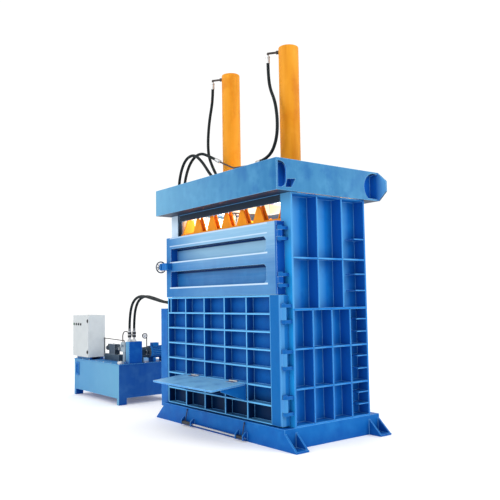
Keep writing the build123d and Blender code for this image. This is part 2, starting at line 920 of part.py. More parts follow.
# Platen
def platen():
    """Box platen with rows of triangular gussets along its edges and a gusset plate at each corner."""
    x1 = platen_half
    y0, y1 = platen_front, platen_rear
    low = platen_bottom + platen_plate
    high = platen_top - platen_web
    shape = block(-x1, x1, y0, y1, platen_bottom, low)
    shape += block(-x1, x1, y0, y1, high, platen_top)
    for y in (y0, y1 - platen_web):
        shape += block(-x1, x1, y, y + platen_web, low, high)
    for x in spread(-x1, x1 - platen_web, 7):
        shape += block(x, x + platen_web, y0 + platen_web, y1 - platen_web, low, high)
    peaks = [(i - (gusset_count - 1) / 2) * gusset_pitch for i in range(gusset_count)]
    rows = [y0, y0 + gusset_row_step, y1 - platen_web - gusset_row_step, y1 - platen_web]
    for y in rows:
        for x in peaks:
            outline = [(x - gusset_half_base, platen_top), (x + gusset_half_base, platen_top),
                       (x + gusset_tip, gusset_peak), (x - gusset_tip, gusset_peak)]
            shape += prism_y(outline, y, y + platen_web)
    for edge, inward in ((y0, 1), (y1, -1)):
        end = [(edge, platen_top), (edge + inward * end_gusset_slope, gusset_peak),
               (edge + inward * (end_gusset_slope + end_gusset_width), gusset_peak),
               (edge + inward * end_gusset_foot, platen_top)]
        right = x1 - end_gusset_inset
        for x in (right - platen_web, -right):
            shape += prism_x(end, x, x + platen_web)
    return shape


def piston_rod(x):
    """Rod with its piston and the flange that bolts to the platen."""
    top = barrel_top - barrel_cap - piston_top_gap
    shape = Pos(x, 0, platen_top) * Cylinder(rod_radius, top - platen_top - piston_length, align=bar_along)
    shape += Pos(x, 0, top - piston_length) * Cylinder(
        bore_radius - running_clearance, piston_length, align=bar_along)
    flange = Pos(x, 0, platen_top) * Cylinder(rod_flange_radius, rod_flange, align=bar_along)
    return shape + flange


def hex_bolts(radius, count, centre):
    """Ring of bolt heads on a flange."""
    head = extrude(RegularPolygon(flange_bolt_radius, 6), amount=flange_bolt_radius)
    return ring_of(head, radius, count, centre)


def rod_flange_bolts():
    """Bolts that hold the rod flanges to the platen."""
    shapes = []
    for x in cylinder_x:
        shapes += hex_bolts((rod_radius + rod_flange_radius) / 2, rod_bolts, (x, 0, platen_top + rod_flange))
    return shapes


def cylinder_flange_bolts():
    """Bolts that hold the cylinder flanges to the crown's top."""
    shapes = []
    for x in cylinder_x:
        middle = (barrel_radius + flange_radius) / 2
        shapes += hex_bolts(middle, flange_bolts, (x, 0, crown_top + flange_thickness))
    return shapes


# Cylinders
def cylinder_barrel(x):
    """Cylinder barrel with its closed top, its foot flange and its upper flange."""
    low = crown_bottom + plate
    shape = Pos(x, 0, low) * Cylinder(barrel_radius, barrel_top - low, align=bar_along)
    top_edge = shape.edges().filter_by(GeomType.CIRCLE).group_by(Axis.Z)[-1]
    shape = fillet(top_edge, barrel_corner)
    shape += Pos(x, 0, low) * Cylinder(flange_radius, flange_thickness, align=bar_along)
    shape += Pos(x, 0, crown_top) * Cylinder(flange_radius, flange_thickness, align=bar_along)
    bore = Cylinder(bore_radius, barrel_top - barrel_cap - low, align=bar_along)
    return shape - Pos(x, 0, low) * bore


def cylinder_gland(x):
    """Bush that guides the rod at the barrel's foot."""
    low = crown_bottom + plate
    shape = Pos(x, 0, low) * Cylinder(bore_radius - seat_clearance, gland_length, align=bar_along)
    return shape - Pos(x, 0, low) * Cylinder(rod_radius + running_clearance, 3 * gland_length)


def port_elbows():
    """Steel elbows from the cylinders' top ports down into the hose ends."""
    shapes = []
    near = barrel_radius + shelf_rest_gap
    out_x, out_y = port_outward
    for x, name in zip(cylinder_x, ("left_cylinder_hose", "right_cylinder_hose")):
        start = (x + out_x * near, out_y * near, port_height)
        corner = (x + out_x * port_reach, out_y * port_reach, port_height)
        foot_point = (corner[0], corner[1], hose_points[name][0][2] + crimp_tail)
        shape = bar(port_pipe_radius, start, corner)
        shape += Pos(*corner) * Sphere(port_pipe_radius)
        shape += bar(port_pipe_radius, corner, foot_point)
        nut = (x + out_x * (near + port_nut_length), out_y * (near + port_nut_length), port_height)
        shape += bar(port_nut_radius, start, nut)
        shapes.append(shape)
    return shapes


def crimp(name, index):
    """Crimped steel sleeve over one end of a hose, with a nut and a plain tail beyond it."""
    points = hose_points[name]
    tip = Vector(*points[index])
    inward = (Vector(*points[1 if index == 0 else -2]) - tip).normalized()
    tail = tip - inward * crimp_tail
    near, far = crimp_nut
    shape = bar(crimp_radius - 5, tuple(tail), tuple(tip))
    shape += bar(crimp_radius, tuple(tip - inward * 12), tuple(tip + inward * crimp_cover))
    shape += bar(crimp_radius + 3, tuple(tip - inward * far), tuple(tip - inward * near))
    return shape - hoses[name], tuple(tail)


def hose_ends():
    """Sleeves at the hose ends on the crown and at the cylinder ports, and the swivels at the manifold."""
    shapes = []
    for name, index in [("left_cylinder_hose", 0), ("right_cylinder_hose", 0), ("supply_hose_front", -1),
                        ("left_cylinder_hose", -1), ("supply_hose_rear", -1), ("right_cylinder_hose", -1)]:
        shapes.append(crimp(name, index)[0])
    return shapes + hose_fittings()


def crown_tee():
    """Steel block on the crown that joins two hoses."""
    x1 = tee_left + tee_size
    y1 = tee_front + tee_size
    shape = block(tee_left, x1, tee_front, y1, crown_top, crown_top + tee_height)
    return chamfer(shape.edges().filter_by(Axis.Z), 8)


def crown_pipe():
    """Bent steel pipe along the top of the crown, on its stand."""
    tails = [Vector(*crimp(name, -1)[1]) for name in ("supply_hose_rear", "right_cylinder_hose")]
    lines = [(Vector(*hose_points[name][-1]) - Vector(*hose_points[name][-2])).normalized()
             for name in ("supply_hose_rear", "right_cylinder_hose")]
    leads = [tail + line * crown_pipe_lead for tail, line in zip(tails, lines)]
    points = [tails[0], leads[0], *[Vector(*p) for p in crown_pipe_middle], leads[1], tails[1]]
    path = FilletPolyline(*points, radius=70)
    start = Plane(origin=path @ 0, z_dir=path % 0)
    shape = sweep(start * Circle(crown_pipe_radius), path=path)
    x, y, z = leads[1].X - 60, leads[1].Y, leads[1].Z
    clip = crown_pipe_clip / 2
    return shape + block(x - clip, x + clip, y - clip, y + clip, crown_top, z + clip)


# Ejector
def ejector_brackets():
    """Two lugs on the base front that carry the ejector bar."""
    shapes = []
    for x0, x1 in ejector_lengths:
        for x in (x0, x1 - rib):
            outline = [(base_front, ejector_bottom), (base_front, ejector_top),
                       (base_front - 24, ejector_top), (base_front - ejector_reach, ejector_top - 34),
                       (base_front - ejector_reach, ejector_bottom)]
            lug = prism_x(outline, x, x + rib)
            shapes.append(lug - bar(ejector_bar_radius + seat_clearance,
                                    (x - 1, base_front - 36, ejector_bar_height),
                                    (x + rib + 1, base_front - 36, ejector_bar_height)))
    return shapes


def ejector_bar():
    """Bar through the lugs along the foot of the machine."""
    x0 = ejector_lengths[0][0] - 20
    x1 = ejector_lengths[1][1] + 20
    return bar(ejector_bar_radius, (x0, base_front - 36, ejector_bar_height),
               (x1, base_front - 36, ejector_bar_height))


def ejector_rollers():
    """Rope rollers on the ejector bar, one between each pair of lugs."""
    shapes = []
    for x0, x1 in ejector_lengths:
        a, b = x0 + rib + 1, x1 - rib - 1
        roller = bar(ejector_roller_radius, (a, base_front - 36, ejector_bar_height),
                     (b, base_front - 36, ejector_bar_height))
        hole = bar(ejector_bar_radius + running_clearance, (a - 1, base_front - 36, ejector_bar_height),
                   (b + 1, base_front - 36, ejector_bar_height))
        shapes.append(roller - hole)
    return shapes


def ejector_ropes():
    """Wire ropes from the rollers up to the edge of the base."""
    shapes = []
    for x in ejector_rope_ends:
        low = (x, base_front - 36, ejector_bar_height + ejector_roller_radius + 1.2)
        end_y = base_front - ejector_rope_end_radius - 0.3
        high = (x, end_y, base_height - 20)
        rope = bar(ejector_rope_radius, low, high)
        rope += Pos(*high) * Sphere(ejector_rope_end_radius)
        shapes.append(rope)
    return shapes


# Power unit
def tank():
    """Open oil tank on four legs."""
    y1 = tank_front + tank_depth
    top = tank_top - tank_lid
    shape = block(tank_left, tank_right, tank_front, y1, tank_bottom, top)
    w = tank_wall
    shape -= block(tank_left + w, tank_right - w, tank_front + w, y1 - w, tank_bottom + w, top + 1)
    for x in (tank_left, tank_right - leg_width):
        for y in (tank_front, y1 - leg_depth):
            shape += block(x, x + leg_width, y, y + leg_depth, 0, tank_bottom)
    return shape


def tank_cover():
    """Lid of the tank, with the filler neck and the two rails under the cabinet."""
    lip = tank_lid_lip
    y0, y1 = tank_front - lip, tank_front + tank_depth + lip
    shape = block(tank_left - lip, tank_right + lip, y0, y1, tank_top - tank_lid, tank_top)
    filler = Pos(filler_x, filler_y, tank_top)
    shape += filler * Cylinder(filler_neck_radius, filler_neck_height, align=bar_along)
    for y in (cabinet_front + cabinet_rail_inset, cabinet_back - cabinet_rail_inset - cabinet_rail):
        shape += block(tank_left, cabinet_right - lip, y, y + cabinet_rail, tank_top, cabinet_bottom)
    return shape - filler * Cylinder(filler_neck_radius - 5, 4 * filler_neck_height)


def level_gauge():
    """Sight glass frame on the tank's front."""
    x1 = gauge_slot_left + gauge_slot_width
    z1 = gauge_slot_bottom + gauge_slot_height
    y0 = tank_front - 14
    frame = block(gauge_slot_left, x1, y0, tank_front, gauge_slot_bottom, z1)
    frame -= block(gauge_slot_left + 14, x1 - 14, y0 - 1, tank_front - 5, gauge_slot_bottom + 22, z1 - 22)
    middle = (gauge_slot_left + x1) / 2
    return frame + bar(6, (middle, tank_front - 7, gauge_slot_bottom + 10), (middle, tank_front - 7, z1 - 10))


def filler_cap():
    """Domed breather cap over the filler neck."""
    z0 = tank_top + shelf_rest_gap
    inside = filler_neck_radius + 0.5
    ceiling = z0 + filler_neck_height + 0.5
    top = z0 + filler_cap_height
    profile = [(inside, z0), (filler_radius, z0), (filler_radius, top - filler_cap_slope),
               (filler_radius - filler_cap_slope, top), (0, top + 6), (0, ceiling), (inside, ceiling)]
    face = make_face(Polyline(*[(x, 0, z) for x, z in profile], close=True))
    return Pos(filler_x, filler_y, 0) * revolve(face, Axis.Z)


def cabinet_box():
    """Sheet-steel cabinet body, open at the front, with a lip that the locks catch."""
    y0 = cabinet_front + cabinet_door_thickness + cabinet_gap
    shape = block(cabinet_left, cabinet_right, y0, cabinet_back, cabinet_bottom, cabinet_top)
    w = cabinet_wall
    sides = [cabinet_left + w, cabinet_right - w]
    ends = [cabinet_bottom + w, cabinet_top - w]
    shape -= block(*sides, y0 - 1, cabinet_back - w, *ends)
    lip = cabinet_lip
    rim = block(*sides, y0, y0 + w, *ends)
    rim -= block(sides[0] + lip, sides[1] - lip, y0 - 1, y0 + w + 1, ends[0] + lip, ends[1] - lip)
    return shape + rim


def cabinet_door():
    """Cabinet door: a folded tray with holes for its locks and controls."""
    y0 = cabinet_front
    y1 = y0 + cabinet_door_thickness
    w = cabinet_sheet
    shape = block(cabinet_left, cabinet_right, y0, y1, cabinet_bottom, cabinet_top)
    shape -= block(cabinet_left + w, cabinet_right - w, y0 + w, y1 + 1, cabinet_bottom + w, cabinet_top - w)
    holes = [(cabinet_right - cabinet_lock_inset, z, cabinet_lock_shank) for z in cabinet_lock_heights]
    holes += [(x, button_height, button_shank) for x in button_x]
    for x, z, radius in holes:
        shape -= bar(radius + cabinet_gap, (x, y0 - 1, z), (x, y0 + 2 * w, z))
    return shape


def cabinet_hinges():
    """Hinge barrels of the cabinet door on the body's left side."""
    shapes = []
    y = cabinet_front + cabinet_door_thickness / 2
    x = cabinet_left - cabinet_hinge_radius - 2 * cabinet_gap
    back = y + cabinet_door_thickness
    length = cabinet_hinge_length
    for drop in cabinet_hinge_drops:
        z = cabinet_bottom + drop
        shape = bar(cabinet_hinge_radius, (x, y, z), (x, y, z + length))
        shape += block(x, cabinet_left, back, back + length / 2, z, z + length)
        shape += block(x - cabinet_hinge_radius, x, y, back + length / 2, z, z + length)
        shapes.append(shape)
    return shapes


def cabinet_lock(z):
    """Quarter-turn lock with its tongue standing upright."""
    x = cabinet_right - cabinet_lock_inset
    y0 = cabinet_front - cabinet_lock_depth
    y1 = cabinet_front + cabinet_tongue_length
    slot = cabinet_lock_slot
    shank = cabinet_lock_shank
    shape = bar(cabinet_lock_radius, (x, y0, z), (x, cabinet_front - cabinet_gap, z))
    shape += bar(shank, (x, cabinet_front - cabinet_gap, z), (x, y1, z))
    shape -= block(x - slot / 2, x + slot / 2, y0 - 1, y0 + slot, z - shank, z + shank)
    half = cabinet_tongue_half
    return shape + block(x - half, x + half, y1 - cabinet_tongue, y1, z - cabinet_tongue_length, z + half)


def control_button(x):
    """Push button in its collar, kept in by a flange behind the door."""
    z = button_height
    y0 = cabinet_front - button_length
    shape = bar(button_shank, (x, y0, z), (x, cabinet_front + 10, z))
    shape = chamfer(shape.edges().filter_by(GeomType.CIRCLE).group_by(Axis.Y)[0], 2)
    flange = cabinet_front + cabinet_sheet + 0.5
    return shape + bar(button_radius, (x, flange, z), (x, flange + button_flange, z))


def door_controls():
    """Collars round the push buttons, and two lamps."""
    shapes = []
    z = button_height
    y0 = cabinet_front - button_collar
    for x in button_x:
        ring = bar(button_collar_radius, (x, y0, z), (x, cabinet_front, z))
        shapes.append(ring - bar(button_shank + cabinet_gap, (x, y0 - 1, z), (x, cabinet_front + 1, z)))
    for x in lamp_x:
        lamp = bar(button_collar_radius, (x, y0, z), (x, cabinet_front, z))
        lamp += bar(button_radius, (x, y0 - lamp_dome, z), (x, y0, z))
        shapes.append(chamfer(lamp.edges().filter_by(GeomType.CIRCLE).group_by(Axis.Y)[0], 4))
    return shapes


def manifold():
    """Manifold block on the tank lid."""
    x1 = block_left + block_width
    y1 = block_front + block_depth
    shape = block(block_left, x1, block_front, y1, tank_top, block_top)
    return chamfer(shape.edges().filter_by(Axis.Z), block_corner)


def hose_fittings():
    """Swivel fittings between the manifold and the two supply hoses."""
    shapes = []
    nut_top = block_top + hose_fitting_nut
    neck_top = nut_top + hose_fitting_neck
    sleeve = block_top + hose_fitting_height - neck_top
    for y in hose_fitting_y:
        nut = extrude(RegularPolygon(hose_fitting_radius + 6, 6), amount=hose_fitting_nut)
        shape = Pos(hose_fitting_x, y, block_top) * nut
        shape += Pos(hose_fitting_x, y, nut_top) * Cylinder(
            hose_fitting_radius - 8, hose_fitting_neck, align=bar_along)
        shape += Pos(hose_fitting_x, y, neck_top) * Cylinder(hose_fitting_radius, sleeve, align=bar_along)
        shapes.append(shape)
    return shapes


def dial_gauge():
    """Pressure gauge on the stem that rises from the bell housing."""
    x0 = dial_x - dial_thickness / 2
    x1 = dial_x + dial_thickness / 2
    at = (dial_y, dial_height)
    low = motor_axis_height + bell_radius
    high = dial_height + dial_stem_radius
    stem = bar(dial_stem_radius, (dial_x, dial_stem_y, low), (dial_x, dial_stem_y, high))
    case = bar(dial_radius - dial_rim, (x0, *at), (x1, *at))
    case += bar(dial_radius, (x1 - dial_bezel, *at), (x1, *at))
    return stem + case - bar(dial_radius - dial_rim + 1, (x1 - dial_sunk, *at), (x1 + 1, *at))


def gauge_needle():
    """Needle of the pressure gauge, at its low stop."""
    face = dial_x + dial_thickness / 2 - dial_sunk + shelf_rest_gap
    radius, height = needle_hub
    shape = bar(radius, (face, dial_y, dial_height), (face + height, dial_y, dial_height))
    turn = math.radians(needle_angle)
    y, z = math.cos(turn), math.sin(turn)
    tip = (dial_y + needle_length * y, dial_height + needle_length * z)
    root = [(dial_y - side * z, dial_height + side * y) for side in (2, -2)]
    return shape + prism_x([*root, tip], face, face + needle_thickness)


def motor():
    """Electric motor with cooling ribs, feet and a terminal box."""
    x, z = motor_x, motor_axis_height
    y0 = motor_front
    y1 = y0 + motor_length
    near = y0 + motor_end_shield
    far = y1 - motor_fan_cover
    root = motor_radius - motor_fin
    shape = bar(root, (x, near, z), (x, far, z))
    shape += bar(motor_radius, (x, y0, z), (x, near, z)) + bar(motor_radius, (x, far, z), (x, y1, z))
    half = motor_fin_half
    for i in range(motor_fins):
        fin = block(-half, half, near, far, root - motor_fin / 2, motor_radius - 1)
        shape += Pos(x, 0, z) * Rot(0, 360 * i / motor_fins, 0) * fin
    reach = motor_foot_half
    for y in (near + 10, far - 10 - motor_foot_width):
        shape += block(x - reach, x + reach, y, y + motor_foot_width, tank_top, tank_top + motor_foot_height)
    half = motor_box_half
    low = z + root
    y2 = near + 20
    return shape + block(x - half, x + half, y2, y2 + motor_box_length, low, low + motor_box_height)


def bell_housing():
    """Housing that joins the motor to the pump."""
    x, z = motor_x, motor_axis_height
    y1 = motor_front
    rim, length = bell_flange
    half = bell_window_half
    shape = bar(bell_radius + rim, (x, y1 - length, z), (x, y1, z))
    shape += bar(bell_radius, (x, y1 - bell_length, z), (x, y1, z))
    for side in (-1, 1):
        x0, x1 = sorted((x + side * (bell_radius - bell_window_depth), x + side * 2 * bell_radius))
        shape -= block(x0, x1, y1 - bell_length + 14, y1 - half, z - half, z + half)
    return shape


def pump():
    """Gear pump on the bell housing, with its suction pipe through the lid."""
    x, z = motor_x, motor_axis_height
    y1 = motor_front - bell_length
    y0 = y1 - pump_length
    half = pump_width / 2
    low = z - pump_height / 2
    shape = block(x - half, x + half, y0, y1, low, low + pump_height)
    shape = chamfer(shape.edges().filter_by(Axis.Y), pump_corner)
    for dx, dz in pump_bolt_places:
        shape += bar(pump_bolt_radius, (x + dx, y0 - 6, z + dz), (x + dx, y0, z + dz))
    middle = (y0 + y1) / 2
    return shape + bar(suction_radius, (x, middle, tank_top), (x, middle, low + 2))


def pump_pipe():
    """Steel pipe from the pump up and over to the manifold."""
    x = motor_x - 35
    y = motor_front - bell_length - pump_length / 2
    low = motor_axis_height + pump_height / 2
    top = block_top - pump_pipe_drop
    y_end = block_front + block_depth / 2 + 20
    points = [(x, y, low), (x, y, top), (x, y_end, top), (block_left, y_end, top)]
    path = FilletPolyline(*points, radius=pump_pipe_bend)
    start = Plane(origin=path @ 0, z_dir=path % 0)
    return sweep(start * Circle(pump_pipe_radius), path=path)


def directional_valve():
    """Solenoid valve on its sub-plate, with a coil at each end."""
    x, y, z = directional_x, directional_y, directional_axis_height
    half = directional_base / 2
    reach = valve_body_half + coil_length + valve_base_overhang
    seat = tank_top + directional_base
    shape = block(x - reach, x + reach, y - half, y + half, tank_top, seat)
    shape += block(x - valve_body_half, x + valve_body_half, y - valve_body_depth, y + valve_body_depth,
                   seat, z + valve_body_top)
    step, cap = coil_cap
    for side in (-1, 1):
        a = x + side * valve_body_half
        b = a + side * coil_length
        shape += bar(coil_radius, (a, y, z), (b, y, z))
        shape += bar(coil_radius - step, (b, y, z), (b + side * cap, y, z))
        x0, x1 = sorted((a + side * plug_inset, b - side * plug_inset))
        shape += block(x0, x1, y - plug_half, y + plug_half, z + coil_radius - 8, z + coil_radius + plug_rise)
    return shape


def relief_valve():
    """Valve block between the solenoid valve and the manifold, on its post."""
    x0, x1 = relief_left, relief_left + relief_width
    y0, y1 = directional_y - relief_depth_half, directional_y + relief_depth_half
    low, high = relief_bottom, relief_bottom + relief_height
    inset = relief_post_inset
    shape = chamfer(block(x0, x1, y0, y1, low, high).edges().filter_by(Axis.Z), block_corner)
    shape += block(x0 + inset, x1 - inset, y0 + inset / 2, y1 - inset / 2, tank_top, low)
    middle = (x0 + x1) / 2
    knob_z = high - relief_knob_drop
    knob_y = y0 - relief_knob_reach
    shape += bar(12, (middle, knob_y, knob_z), (middle, y0, knob_z))
    shape += bar(21, (middle, knob_y, knob_z), (middle, knob_y + 20, knob_z))
    link_z = low + relief_knob_drop
    return shape + bar(relief_link_radius, (x1, directional_y, link_z), (block_left, directional_y, link_z))


def link_pipe():
    """Thin steel pipe from the side of the cabinet to the relief valve."""
    x_end = relief_left + relief_width / 2 - 30
    high = relief_bottom + relief_height
    y = directional_y
    start_z, end_z = (high + rise for rise in link_pipe_rise)
    points = [(cabinet_right + cabinet_gap, y, start_z), (cabinet_right + link_pipe_lead, y, start_z),
              (x_end - link_pipe_lead, y, end_z), (x_end, y, end_z), (x_end, y, high)]
    path = FilletPolyline(*points, radius=link_pipe_bend)
    plane = Plane(origin=path @ 0, z_dir=path % 0)
    return sweep(plane * Circle(link_pipe_radius), path=path)


# Hoses
def hose(name):
    """Hose along straight runs joined by the largest arcs that they allow."""
    points = [Vector(*p) for p in hose_points[name]]
    radii = []
    for before, corner, after in zip(points, points[1:], points[2:]):
        first, second = corner - before, after - corner
        turn = math.radians(first.get_angle(second))
        radii.append(0.45 * min(first.length, second.length) / math.tan(turn / 2))
    path = FilletPolyline(*points, radius=radii)
    start = Plane(origin=path @ 0, z_dir=path % 0)
    tube = sweep(start * Circle(hose_radius), path=path)
    runs = [(b - a).length for a, b in zip(points, points[1:])]
    print(name, "radii", [round(r) for r in radii], "runs", [round(r) for r in runs],
          "length", round(path.length), "volume ratio",
          round(tube.volume / (math.pi * hose_radius ** 2 * path.length), 4))
    return tube


# Hoses come first, because their end sleeves are cut to fit them
hoses = {name: hose(name) for name in hose_points}

# Every piece by its node name
pieces = {
    "base_frame": base_frame(),
    "chamber_floor": chamber_floor(),
    "right_side_wall": right_side_wall(),
    "left_side_wall": mirrored(right_side_wall()),
    "rear_wall": rear_wall(),
    "crown": crown(),
    "lock_post": lock_post(),
    "door_hinge_brackets": door_hinge_brackets(),
    "door_hinge_pins": door_hinge_pins(),
    "lower_door": lower_door(),
    "shelf_hinge_door_leaves": shelf_hinge_fixed(),
    "shelf_brackets": shelf_brackets(),
    "feed_shelf": feed_shelf(),
    "shelf_hinge_shelf_leaves": shelf_hinge_moving(),
    "upper_door": upper_door(),
    "lock_keeper": lock_keeper(),
    "lock_bracket": lock_bracket(),
    "lock_bolt": lock_bolt(),
    "handwheel": handwheel(),
    "platen": platen(),
    "left_cylinder_barrel": cylinder_barrel(cylinder_x[0]),
    "right_cylinder_barrel": cylinder_barrel(cylinder_x[1]),
    "cylinder_glands": [cylinder_gland(x) for x in cylinder_x],
    "left_piston_rod": piston_rod(cylinder_x[0]),
    "right_piston_rod": piston_rod(cylinder_x[1]),
    "rod_flange_bolts": rod_flange_bolts(),
    "cylinder_flange_bolts": cylinder_flange_bolts(),
    "port_elbows": port_elbows(),
    "hose_ends": hose_ends(),
    "crown_tee": crown_tee(),
    "crown_pipe": crown_pipe(),
    "ejector_bar": ejector_bar(),
    "ejector_rollers": ejector_rollers(),
    "ejector_ropes": ejector_ropes(),
    "tank": tank(),
    "tank_cover": tank_cover(),
    "level_gauge": level_gauge(),
    "filler_cap": filler_cap(),
    "cabinet_box": cabinet_box(),
    "cabinet_hinges": cabinet_hinges(),
    "cabinet_door": cabinet_door(),
    "upper_cabinet_lock": cabinet_lock(cabinet_lock_heights[0]),
    "lower_cabinet_lock": cabinet_lock(cabinet_lock_heights[1]),
    "door_controls": door_controls(),
    "start_button": control_button(button_x[0]),
    "stop_button": control_button(button_x[1]),
    "manifold": manifold(),
    "dial_gauge": dial_gauge(),
    "gauge_needle": gauge_needle(),
    "motor": motor(),
    "bell_housing": bell_housing(),
    "pump": pump(),
    "pump_pipe": pump_pipe(),
    "directional_valve": directional_valve(),
    "relief_valve": relief_valve(),
    "link_pipe": link_pipe(),
    **hoses,
}

os.makedirs("parts", exist_ok=True)
for name, shape in pieces.items():
    solid = Compound(children=list(shape)) if isinstance(shape, list) else shape
    export_step(solid, f"parts/{name}.step")
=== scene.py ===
# %% [markdown]
# # A vertical hydraulic recycling baler
# The machine is a heavy welded press: a base on four feet, ribbed walls, a crown
# beam with two orange cylinders, an orange platen, two front doors, and a power
# unit with its oil tank and control cabinet. The steel comes ready made from the
# CAD frame. Here it gets finishes, hoses, small fittings and light.

# %% Load the frame
import json
import math

import bmesh
import bpy
from mathutils import Matrix, Vector


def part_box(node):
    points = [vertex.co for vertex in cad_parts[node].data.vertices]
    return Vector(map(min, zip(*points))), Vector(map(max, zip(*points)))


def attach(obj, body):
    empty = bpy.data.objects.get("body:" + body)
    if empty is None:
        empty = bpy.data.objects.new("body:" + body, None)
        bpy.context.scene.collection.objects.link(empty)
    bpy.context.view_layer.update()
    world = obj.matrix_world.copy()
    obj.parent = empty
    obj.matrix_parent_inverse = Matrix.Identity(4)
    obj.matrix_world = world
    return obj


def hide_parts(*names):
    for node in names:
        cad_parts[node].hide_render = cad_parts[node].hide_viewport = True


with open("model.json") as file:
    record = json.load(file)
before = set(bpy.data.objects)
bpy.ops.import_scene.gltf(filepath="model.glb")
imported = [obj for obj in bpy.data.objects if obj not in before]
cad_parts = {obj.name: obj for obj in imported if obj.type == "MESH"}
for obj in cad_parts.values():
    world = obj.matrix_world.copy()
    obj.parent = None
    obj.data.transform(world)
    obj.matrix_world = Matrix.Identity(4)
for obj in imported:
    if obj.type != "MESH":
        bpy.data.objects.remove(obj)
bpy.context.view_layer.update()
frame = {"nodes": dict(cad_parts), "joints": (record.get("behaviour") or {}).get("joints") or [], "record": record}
nodes = frame["nodes"]

# %% [markdown]
# ## Measuring on the frame
# Bolts, screws and rings sit on CAD pieces, so most places are read from those:
# the middle or a corner of a piece's box, or the point that a hinge turns about.


# %% Places on the frame
def corner(name, which):
    """The lowest (0) or highest (1) corner of a CAD piece's box."""
    return Vector(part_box(name)[which])


def middle(name):
    return (corner(name, 0) + corner(name, 1)) / 2


def pivot(joint_name):
    """A point on the axis of a hinge."""
    return Vector(next(joint["pos_m"] for joint in frame["joints"] if joint["name"] == joint_name))


cylinder_axes = [middle("left_cylinder_barrel"), middle("right_cylinder_barrel")]
print("cylinders at x =", [round(axis.x, 3) for axis in cylinder_axes])

# %% [markdown]
# ## The camera
# The photographer stood at eye height, off the right front corner of the press.
# A camera in Blender looks along its own -Z with +Y up, so its matrix has the
# right, up and backward directions as columns.

# %% Camera
camera_place = Vector((6.133, -4.896, 1.497))
camera_yaw = math.radians(52.39)
camera_pitch = math.radians(4.41)
camera_roll = math.radians(-0.93)
camera_lens = 46.44

forward = Vector((-math.sin(camera_yaw) * math.cos(camera_pitch),
                  math.cos(camera_yaw) * math.cos(camera_pitch), math.sin(camera_pitch)))
across = Vector((math.cos(camera_yaw), math.sin(camera_yaw), 0))
upright = across.cross(forward)
right = across * math.cos(camera_roll) + upright * math.sin(camera_roll)
up = upright * math.cos(camera_roll) - across * math.sin(camera_roll)
camera_turn = Matrix((right, up, -forward)).transposed().to_4x4()
camera = bpy.data.objects.new("camera", bpy.data.cameras.new("camera"))
camera.data.lens = camera_lens
camera.matrix_world = Matrix.Translation(camera_place) @ camera_turn
scene = bpy.context.scene
scene.collection.objects.link(camera)
scene.camera = camera
print("camera looks along", tuple(round(c, 3) for c in forward))

# %% [markdown]
# ## Helpers for node trees
# Materials and Geometry Nodes are both trees of nodes. One helper makes a node,
# sets its options and fills its sockets, either with a value or with a link. Colours
# are written as on a paint chart, 0 to 255 in sRGB, and turned into linear light.


# %% Node helpers
def srgb(red, green, blue):
    shares = [c / 255 for c in (red, green, blue)]
    return (*(((c + 0.055) / 1.055) ** 2.4 if c > 10 / 255 else c / 12.92 for c in shares), 1)


def fill(tree, socket, value):
    if isinstance(value, bpy.types.NodeSocket):
        tree.links.new(value, socket)
    else:
        socket.default_value = value


def node(tree, kind, sockets=None, **options):
    made = tree.nodes.new(kind)
    for name, value in options.items():
        setattr(made, name, value)
    for name, value in (sockets or {}).items():
        fill(tree, made.inputs[name], value)
    return made


def math_node(tree, operation, *values):
    made = node(tree, "ShaderNodeMath", operation=operation)
    for socket, value in zip(made.inputs, values):
        fill(tree, socket, value)
    return made.outputs[0]


def ramp(tree, value, start, end, low=0.0, high=1.0):
    """Goes from one value to another while the input goes from start to end."""
    return node(tree, "ShaderNodeMapRange", {"Value": value, "From Min": start, "From Max": end,
                                             "To Min": low, "To Max": high}).outputs["Result"]


def blended(tree, share, first, second):
    """Colour between two colours. Sockets 0, 6 and 7 are the share and the colours."""
    mix = node(tree, "ShaderNodeMix", data_type="RGBA")
    for socket, value in ((0, share), (6, first), (7, second)):
        fill(tree, mix.inputs[socket], value)
    return mix.outputs[2]


def noise(tree, place, scale, low, high, stretch=(1, 1, 1), detail=4.0, sharp=(0.3, 0.7)):
    """Noise on the object, between two values."""
    spot = node(tree, "ShaderNodeMapping", {"Vector": place, "Scale": stretch}).outputs["Vector"]
    made = node(tree, "ShaderNodeTexNoise", {"Vector": spot, "Scale": scale, "Detail": detail})
    return ramp(tree, made.outputs["Fac"], *sharp, low, high)


def blank_finish(name):
    """A new material with only a Principled shader and its output."""
    finish = bpy.data.materials.new(name)
    finish.use_nodes = True
    finish.node_tree.nodes.clear()
    shader = node(finish.node_tree, "ShaderNodeBsdfPrincipled")
    node(finish.node_tree, "ShaderNodeOutputMaterial", {"Surface": shader.outputs["BSDF"]})
    return finish, shader


print("mid blue in linear light:", tuple(round(c, 3) for c in srgb(30, 110, 185)[:3]))

# %% [markdown]
# ## Where a point of a piece lies
# Much of the painted light and shade of the machine depends on where a face points and
# where it lies: undersides get painted shade, fronts painted sky, deep bays painted shade.
# A Place object hands out the coordinates and the facing of the surface on the
# object itself, so the finish travels with a door when it swings. A share says how
# much of a tone shows at a point, and a tone is laid on where its shares meet. A
# painted image could do the same, but boxes in metres stay sharp and fit the frame.


# %% Place on the object
facing_limits = (0.35, 0.75)


